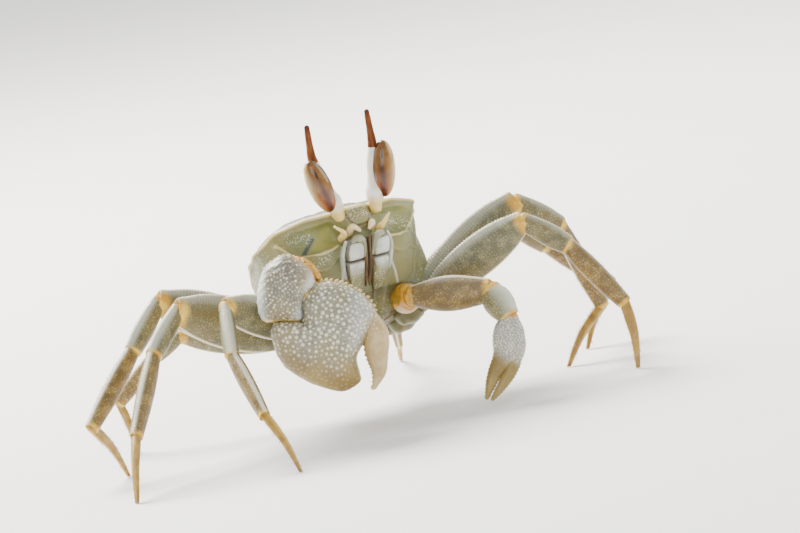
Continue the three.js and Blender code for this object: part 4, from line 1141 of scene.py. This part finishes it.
finger, run, along, upper, broad, ends = draw_limb(
    "claw_right_finger_shell", [on_claw(spot, HAND_AT) for spot in FINGER_LINE],
    [1.9, 2.6, 2.85, 2.4, 1.6, .6], [1.9, 2.4, 2.3, 2.0, 1.4, .6],
    CLAW_ACROSS, 72, 130, cupped=False, root_part=0.1, end_part=0.08)
own = (corners(finger) / MM - STAND - HAND_AT) @ CLAW_AXES.T
fine = granules(own, *FINGER_GRANULES) * (1 - step(along, 0.2, 0.55))
teeth = teeth_along(run, 0.95) * bump_at(upper, -1, 0.1) * step(along, 0.12, 0.25)
furrow = bump_at(np.abs(broad), 0.93, 0.05) * step(along, 0.15, 0.3) * (1 - step(along, 0.8, 0.95))
raise_skin(finger, 0.12 * fine + 0.3 * teeth - 0.1 * furrow)
mark(finger, grain=np.maximum(fine, 0.5 * teeth), pale=1 - step(along, 0.02, 0.12))
hold(finger, "fingertip", finger_finish, "claw_right_finger")
spines = spine_row("claw_right_finger_spines", FINGER_MARGIN, HAND_AT, *FINGER_SPINES)
mark(spines, grain=0.4, pale=0.6)
hold(spines, "fingertip", finger_finish)

# ------------------------------------------------------------------ small claw
# The left claw is slimmer: an olive upper arm, a round wrist and a narrow hand, blue-white and finely
# granular, ending in two long pale fingers that meet at their tips.
SMALL_ISCHIUM_END = np.array([7.8, -3.0, 26.2])
SMALL_ELBOW = np.array([20.3, -16.8, 25.4])
SMALL_WRIST = np.array([21.8, -20.6, 19.2])
SMALL_HAND_END = np.array([19.3, -22.2, 11.6])
SMALL_TIP = np.array([11.9, -22.6, 2.6])
SMALL_GRANULES = (0.54, 0.32)
small_root = hip_at(1, 1)
outside = bearing(60, 0)
way = SMALL_TIP - SMALL_WRIST
way /= np.linalg.norm(way)
outer_way = outside - way * (outside @ way)
outer_way /= np.linalg.norm(outer_way)
between = (SMALL_HAND_END + SMALL_TIP) / 2
SMALL_ARM = (  # name, path, half depths, half breadths, upper side, rows, edge; gold, chalk, shade, grain
    ("ischium", [small_root, SMALL_ISCHIUM_END], [2.4, 2.8, 2.6], [2.3, 2.6, 2.4],
     (0, 0, 1), 70, 2.0, 1.0, 0.0, 0.0, 1.0),
    ("merus", [SMALL_ISCHIUM_END, SMALL_ELBOW], [2.3, 3.2, 3.9, 3.9, 3.3, 2.6],
     [2.2, 2.7, 3.0, 3.0, 2.7, 2.3], (0, 0, 1), 110, 1.85, 1.0, 0.05, 0.3, 0.55),
    ("carpus", [SMALL_ELBOW, SMALL_WRIST], [2.7, 3.4, 3.3, 2.5], [2.4, 3.0, 3.0, 2.3],
     outside, 70, 2.0, 0.2, 0.8, 0.0, 1.0))
SMALL_HAND = (  # name, slot, path, half depths, half breadths, rows, where the finger begins, side of the gap
    ("palm", "claw",
     [SMALL_WRIST, SMALL_WRIST * .45 + SMALL_HAND_END * .55, SMALL_HAND_END - 0.2 * outer_way,
      between - 1.1 * outer_way, SMALL_TIP - 0.6 * outer_way],
     [2.1, 3.3, 3.7, 3.5, 2.3, 1.6, 1.1, .5], [1.9, 2.4, 2.6, 2.4, 1.7, 1.2, .9, .5], 110, (0.4, 0.6), 1),
    ("finger", "fingertip",
     [SMALL_HAND_END + 1.9 * outer_way, between + 1.9 * outer_way, SMALL_TIP + 0.75 * outer_way],
     [1.3, 1.6, 1.5, 1.2, .9, .45], [1.4, 1.6, 1.4, 1.1, .8, .45], 70, (0.0, 0.3), -1))

for name, path, deep, wide, up_side, rows, edge, gold, chalk, shade, grain in SMALL_ARM:
    piece, run, along, upper, broad, ends = draw_limb(
        f"claw_left_{name}_shell", path, deep, wide, up_side, 64, rows, edge=edge)
    fine = granules(corners(piece) / MM, *SMALL_GRANULES, allowed=ends > 0.3) * ends
    margin = bump_at(np.abs(upper), 1, 0.045) * ends * (name == "merus")
    raise_skin(piece, 0.08 * fine + 0.14 * margin)
    mark(piece, grain=fine * grain, gold=gold, shade=shade, chalk=chalk * step(upper, -0.6, 0.9),
         pale=margin * step(upper, -0.2, 0.2),
         knee=np.maximum(step(along, 0.88, 1.0) * 0.7, 0.8 - step(along, 0, 0.1)))
    hold(piece, "claw", amber_finish if name == "ischium" else leg_finish, f"claw_left_{name}")

for name, slot_name, path, deep, wide, rows, finger_part, gap_upper in SMALL_HAND:
    piece, run, along, upper, broad, ends = draw_limb(
        f"claw_left_{name}_shell", path, deep, wide, outer_way, 64, rows, cupped=False)
    fine = granules(corners(piece) / MM, *SMALL_GRANULES, allowed=ends > 0.3) * ends
    fingers = step(along, *finger_part)
    outer_edge = bump_at(upper, -gap_upper, 0.06) * ends
    teeth = teeth_along(run, 0.8) * bump_at(upper, gap_upper, 0.08) * fingers
    saw = teeth_along(run, 0.85) * outer_edge
    raise_skin(piece, 0.12 * fine * (1 - fingers) + 0.18 * teeth + 0.2 * saw)
    mark(piece, grain=np.maximum(fine * (1 - 0.8 * fingers), 0.6 * saw), cream=fingers,
         chalk=0.35 * (1 - fingers) * step(broad, -0.8, 0.4), shade=0.35 * (1 - fingers) * (1 - fine),
         pale=0.45 * outer_edge, knee=1 - step(along, 0.0, 0.05))
    hold(piece, slot_name, claw_finish, f"claw_left_{name}")

# ------------------------------------------------------------------ claw joints
# Soft amber skin shows between the plates of both claws, bulging a little where a joint is bent. At
# its root each claw comes out of a rounded hip plate, fixed in the underside as the legs' hips are.
CLAW_SKINS = (  # place, half widths with the longest last, and the way that it points
    (claw_root * 0.6 + ISCHIUM_END * 0.4, (2.7, 2.7, 2.4), ISCHIUM_END - claw_root),
    (ISCHIUM_END, (2.5, 2.5, 1.6), ELBOW - ISCHIUM_END),
    (ELBOW + [0, -1.0, 0.8], (3.0, 3.0, 2.2), (0, -1, 1)),
    (on_claw([5.2, -.6, 0], WRIST_AT), (2.2, 2.2, 3.2), CLAW_UPWARD),
    (small_root * 0.5 + SMALL_ISCHIUM_END * 0.5, (2.6, 2.6, 2.2), SMALL_ISCHIUM_END - small_root),
    (SMALL_ISCHIUM_END, (2.4, 2.4, 1.6), SMALL_ELBOW - SMALL_ISCHIUM_END),
    (SMALL_ELBOW, (2.3, 2.3, 2.0), SMALL_WRIST - SMALL_ELBOW),
    (SMALL_WRIST, (1.9, 1.9, 1.8), SMALL_TIP - SMALL_WRIST))
hold(join_pieces([joint_skin(*skin) for skin in CLAW_SKINS], "claw_joint_skins"), "membrane", skin_finish)
for name, root, end in (("right", claw_root, ISCHIUM_END), ("left", small_root, SMALL_ISCHIUM_END)):
    way = (end - root) / np.linalg.norm(end - root)
    hip, *_ = draw_limb(f"claw_hip_{name}", [root - 3.4 * way, root + 1.6 * way],
                        [2.6, 3.5, 3.3], [2.5, 3.4, 3.1], (0, 0, 1), 48, 48, cupped=False)
    mark(hip, grain=0)
    hold(hip, "sole", amber_finish)

# ------------------------------------------------------------------ eyes
# Each eye is a cream stalk with a long glossy cornea wrapped over its front and outer side. The stalk
# runs on past the cornea as a slim brown horn, the mark of an old crab of this kind.
EYES = {  # root in the trunk's frame, side, lean from upright, degrees round of the stripe and dark edge
    "right": ([-3.7, 14.7, 9.4], -1, 17, 18, -42),
    "left": ([6.2, 14.0, 9.4], 1, 8, -36, -86)}
STALK_LENGTH = 15.2
STALK_HALF = [1.3, 1.9, 2.1, 1.6, 1.5, 1.5, 1.2, .9]
HORN_LENGTH = 7.3
HORN_HALF = [1.1, 1.0, .85, .75, .7, .6]
CORNEA_HALF = (2.75, 2.8, 6.5)
CORNEA_AT = 9.3                            # mm up the stalk to the cornea's middle
CORNEA_OUTWARD = 1.9
CORNEA_AHEAD = 1.3

stalk_finish, tree, shader = new_finish("clear_cream_stalk")
tone = blend_hues(tree, mottle_on(tree, 320, 4, 0.38, 0.62), "ddd7c2", "ece9df")
tone = laid_on(tree, tone, "base", 0.1, 0.9, 0.9, "ecca6c")
shell_gloss(shader, 0.28, 0.6, (1.0, 0.8, 0.5), coat=0.25)
colour_and_bump(tree, shader, tone, noise_on(tree, 1500, 3), 0.00008)

horn_finish, tree, shader = new_finish("brown_horn")
streak = mottle_on(tree, 900, 4, 0.35, 0.65, stretch=(1, 1, 0.15))
tone = laid_on(tree, blend_hues(tree, streak, "562806", "7a4210"), "along", 0.8, 1.0, 0.6, "3d1606")
shell_gloss(shader, 0.45, 0.1, (1.0, 0.4, 0.2))
shader.inputs["Specular IOR Level"].default_value = 0.2
colour_and_bump(tree, shader, tone, streak, 0.00005)

cornea_finish, tree, shader = new_finish("glossy_cornea")
tone = blend_hues(tree, mottle_on(tree, 260, 3, 0.4, 0.62), "674314", "835c28")
tone = laid_on(tree, tone, "height", 0.1, -0.8, 1, "8e4a26")
tone = blend_hues(tree, reading(tree, "light"), tone, "c8aa6c")
tone = laid_on(tree, tone, "rim", 0.1, 0.9, 1, "cdb98a")
tone = laid_on(tree, tone, "stripe", 0.05, 1.0, 0.9, "3a1508")
tone = laid_on(tree, tone, "dark", 0.2, 0.8, 1, "1f1411")
shader.inputs["Roughness"].default_value = 0.06
shader.inputs["Specular IOR Level"].default_value = 0.35
shader.inputs["Subsurface Weight"].default_value = 0.2
shader.inputs["Subsurface Radius"].default_value = (1.0, 0.6, 0.4)
shader.inputs["Subsurface Scale"].default_value = 0.0008
shader.inputs["Coat Weight"].default_value = 0.35
shader.inputs["Coat Roughness"].default_value = 0.03
colour_and_bump(tree, shader, tone, cells_on(tree, 9000), 0.000006)


def degrees_off(around, middle):
    """How many degrees round each corner is from a bearing, either way."""
    return np.abs((around - middle + 180) % 360 - 180)


for name, (root, out_side, lean, stripe_at, dark_at) in EYES.items():
    root = from_trunk(root)
    axis = np.array([out_side * math.sin(math.radians(lean)), 0, math.cos(math.radians(lean))])
    outward = out_side * np.array([axis[2], 0, -axis[0]])
    ahead = np.array([0, -1.0, 0])
    top = root + STALK_LENGTH * axis
    stalk, run, along, upper, broad, ends = draw_limb(
        f"eyestalk_{name}_shell", [root, top], STALK_HALF, STALK_HALF, ahead, 56, 110, cupped=False)
    collar = bump_at(along, 0.12, 0.03) + 0.7 * bump_at(along, 0.2, 0.02)
    raise_skin(stalk, -0.1 * collar + 0.05 * np.sin(run * 3 + 2 * upper) * (1 - step(along, 0.2, 0.4)))
    mark(stalk, base=1 - step(along, 0.0, 0.3))
    hold(stalk, "stalk", stalk_finish, f"eyestalk_{name}")

    cornea = sphere_net(f"cornea_{name}_lens", 96, 96)[0]
    ball = corners(cornea)
    middle = root + CORNEA_AT * axis + CORNEA_OUTWARD * outward + CORNEA_AHEAD * ahead
    own = ball * CORNEA_HALF
    place_corners(cornea, own[:, :1] * outward + own[:, 1:2] * ahead + own[:, 2:] * axis + middle + STAND)
    face_outwards(cornea)
    height = ball[:, 2]
    waist = np.hypot(ball[:, 0], ball[:, 1])
    around = np.degrees(np.arctan2(ball[:, 0], ball[:, 1]))
    stripe_gap = degrees_off(around, stripe_at) * waist
    edge_gap = degrees_off(around, dark_at) * waist
    past_edge = (dark_at - around) % 360
    slit = bump_at(stripe_gap, 0, 5.5) * bump_at(height, 0.52, 0.2)
    mark(cornea, height=height,
         stripe=bump_at(stripe_gap, 0, 17) * (0.35 + 0.65 * step(-height, -0.75, 0.3)),
         dark=np.maximum(slit, 0.95 * bump_at(edge_gap, 0, 5.5)),
         light=0.8 * step(around, stripe_at + 22, stripe_at + 75),
         rim=step(past_edge, 8, 16) * (1 - step(past_edge, 120, 190)))
    hold(cornea, "cornea", cornea_finish, f"cornea_{name}")

    horn_line = [top - 0.7 * axis, top + 0.4 * axis + [0, 0, 0.6], top + [0, 0, HORN_LENGTH]]
    horn, run, along, upper, broad, ends = draw_limb(
        f"eye_horn_{name}_shell", horn_line, HORN_HALF, HORN_HALF, ahead, 40, 70, cupped=False)
    raise_skin(horn, 0.05 * np.sin(run * 2.1) * np.cos(3 * np.arctan2(upper, broad)))
    mark(horn, along=along)
    hold(horn, "horn", horn_finish, f"eye_horn_{name}")

# ------------------------------------------------------------------ mouth plates and feelers
# Two pairs of flat plates close the mouth like doors, a short one over a long one on each side, with a
# brown gap between. Slim feelers and a small folded pair of antennules stand between eyes and mouth.
PLATE_TOP = [0, 17.4, 2.6]                 # middle of the mouth's top edge, in the trunk's frame
PLATE_DOWN = [0, -.659, -.752]
PLATE_OUT = [0, .752, -.659]
UPPER_PLATE = [[1.5, .8], [2.4, .25], [4.7, .1], [5.5, .7], [5.75, 2.6], [5.6, 4.5], [5.0, 4.85],
               [1.7, 4.85], [1.2, 4.3], [1.15, 2.2]]
LOWER_PLATE = [[1.3, 5.2], [5.3, 5.2], [5.6, 6.2], [5.45, 8.6], [4.9, 11.2], [4.0, 13.0], [3.0, 13.5],
               [1.5, 13.7], [1.05, 12.8], [1.05, 6.0]]
MOUTH_GRANULES = (0.5, 0.28)
PLATE_SUNK = -1.2                          # mm out from the mouth's top edge to the plates' middles
INNER_PALPS = ((0.55, 13.2, 0.62), (1.0, 12.6, 0.4))   # mm across, mm down to its tip, half width
EXOPOD_LINE = [[4.6, 13.4, -1.3], [6.1, 8, -1.0], [6.5, 3.2, -0.9], [5.6, 0.2, -1.1]]
PALP_LINE = [[4.2, 0.2, -.5], [3.2, -0.5, -.2], [1.9, 0.1, -.1], [1.25, 2.0, 0], [1.1, 4.2, -.1]]
FEELER_LINE = [[4.9, 14.0, 4.8], [5.3, 16.7, 5.3], [7.3, 17.2, 7.1]]
ANTENNULE_LINE = [[3.0, 14.6, 5.4], [2.6, 16.6, 6.2], [1.3, 16.8, 5.0]]

mouth_finish, tree, shader = new_finish("mouth_plates")
mottle = mottle_on(tree, 380, 4, 0.4, 0.62)
blue = blend_hues(tree, mottle, "bfc4b8", "d8dcd2")
olive = blend_hues(tree, mottle, "6f6a3e", "8a8553")
tone = blend_hues(tree, reading(tree, "olive"), blue, olive)
tone = laid_on(tree, tone, "grain", 0.2, 0.9, 0.6, "dfe1d4")
tone = laid_on(tree, tone, "shade", 0.1, 1.0, 0.85, "4e3d22")
shell_gloss(shader, 0.38, 0.25)
colour_and_bump(tree, shader, tone, noise_on(tree, 2400, 3), 0.00008)

gap_finish, tree, shader = new_finish("brown_inner_mouthparts")
fibre = mottle_on(tree, 700, 4, 0.35, 0.65, stretch=(1, 1, 0.2))
shell_gloss(shader, 0.5, 0.1)
colour_and_bump(tree, shader, blend_hues(tree, fibre, "3c2c18", "6a5330"), fibre, 0.0001)

trunk_axes = np.array([from_trunk(v) - from_trunk([0, 0, 0]) for v in ([1, 0, 0], PLATE_DOWN, PLATE_OUT)])


def mouth_line(line, out_side):
    """A line given in mm across, down and out from the mouth's top edge, on one side of the mouth."""
    return [from_trunk(PLATE_TOP) + np.array([across * out_side, down, out]) @ trunk_axes
            for across, down, out in line]


def trunk_line(line, out_side):
    """A line given in the trunk's frame for the left side, on one side of the crab."""
    return [from_trunk([side * out_side, forward, up]) for side, forward, up in line]


for name, out_side in (("right", -1), ("left", 1)):
    axes = trunk_axes * [[out_side], [1], [1]]
    plates = []
    for outline, bulge in ((UPPER_PLATE, 0.55), (LOWER_PLATE, 0.5)):
        across, down = np.mean(outline, axis=0)
        piece, own = draw_slab("plate", np.array(outline) - [across, down], axes,
                               from_trunk(PLATE_TOP) + np.array([across, down, PLATE_SUNK]) @ axes,
                               1.2 + bulge, 1.0, 110, 70, squareness=3.6)
        own = own + [across, down, 0]
        fine = granules(own, *MOUTH_GRANULES)
        raise_skin(piece, 0.05 * fine)
        inner_olive = step(2.6 - own[:, 0], 0, 1.4) * 0.8 if out_side > 0 else 0
        edge_line = [[*corner, 0] for corner in outline + outline[:1]]
        margin = 1 - step(from_line(own * [1, 1, 0], edge_line), 0.1, 0.65)
        mark(piece, grain=fine, olive=step(own[:, 1], 5.0, 9.5) * 0.95 + inner_olive,
             shade=np.maximum(0.75 * (1 - step(own[:, 0], 1.0, 2.0)), 0.85 * margin))
        plates.append(piece)
    hold(join_pieces(plates, f"maxilliped_{name}_plates"), "mouth", mouth_finish, f"maxilliped_{name}")

inner_parts = []
for out_side in (-1, 1):
    for across, tip_down, size in INNER_PALPS:
        line = [[across, 0.3, -0.9], [across, 6, -0.5], [across * 0.8, tip_down, -1.0]]
        piece, *_ = draw_limb("palp", mouth_line(line, out_side), [size * .8, size, size, size * .7],
                              [size * .7, size * .8, size * .8, size * .5], PLATE_OUT, 24, 60, cupped=False)
        inner_parts.append(piece)
hold(join_pieces(inner_parts, "inner_mouthparts"), "mouth", gap_finish)

for name, out_side in (("right", -1), ("left", 1)):
    exopod, *_ = draw_limb(f"exopod_{name}", mouth_line(EXOPOD_LINE, out_side),
                           [.5, .62, .6, .5, .35], [.5, .6, .55, .5, .35], PLATE_OUT, 32, 80, cupped=False)
    mark(exopod, grain=0.2, olive=0.25, shade=0)
    hold(exopod, "mouth", mouth_finish)
    palp, *_ = draw_limb(f"palp_{name}", mouth_line(PALP_LINE, out_side), [.55, .8, .85, .6, .45, .3],
                         [.55, .8, .8, .5, .4, .25], PLATE_OUT, 32, 90, cupped=False)
    mark(palp, grain=0.1, olive=0.75, shade=0.1)
    hold(palp, "mouth", mouth_finish)
    feeler, run, along, *_ = draw_limb(
        f"feeler_{name}_shell", trunk_line(FEELER_LINE, out_side),
        [.9, .85, .6, .42, .3], [.9, .85, .6, .42, .3], (out_side, 0, 0), 32, 80, cupped=False)
    raise_skin(feeler, -0.06 * np.clip(np.sin(run * 5.0), 0, 1) * step(along, 0.35, 0.5))
    mark(feeler, base=1 - 0.3 * step(along, 0.4, 1.0))
    hold(feeler, "stalk", stalk_finish, f"feeler_{name}")
    antennule, *_ = draw_limb(
        f"antennule_{name}", trunk_line(ANTENNULE_LINE, out_side),
        [.8, .85, .7, .4], [.8, .85, .7, .4], (out_side, 0, 0), 32, 60, cupped=False)
    mark(antennule, base=0.55)
    hold(antennule, "stalk", stalk_finish)
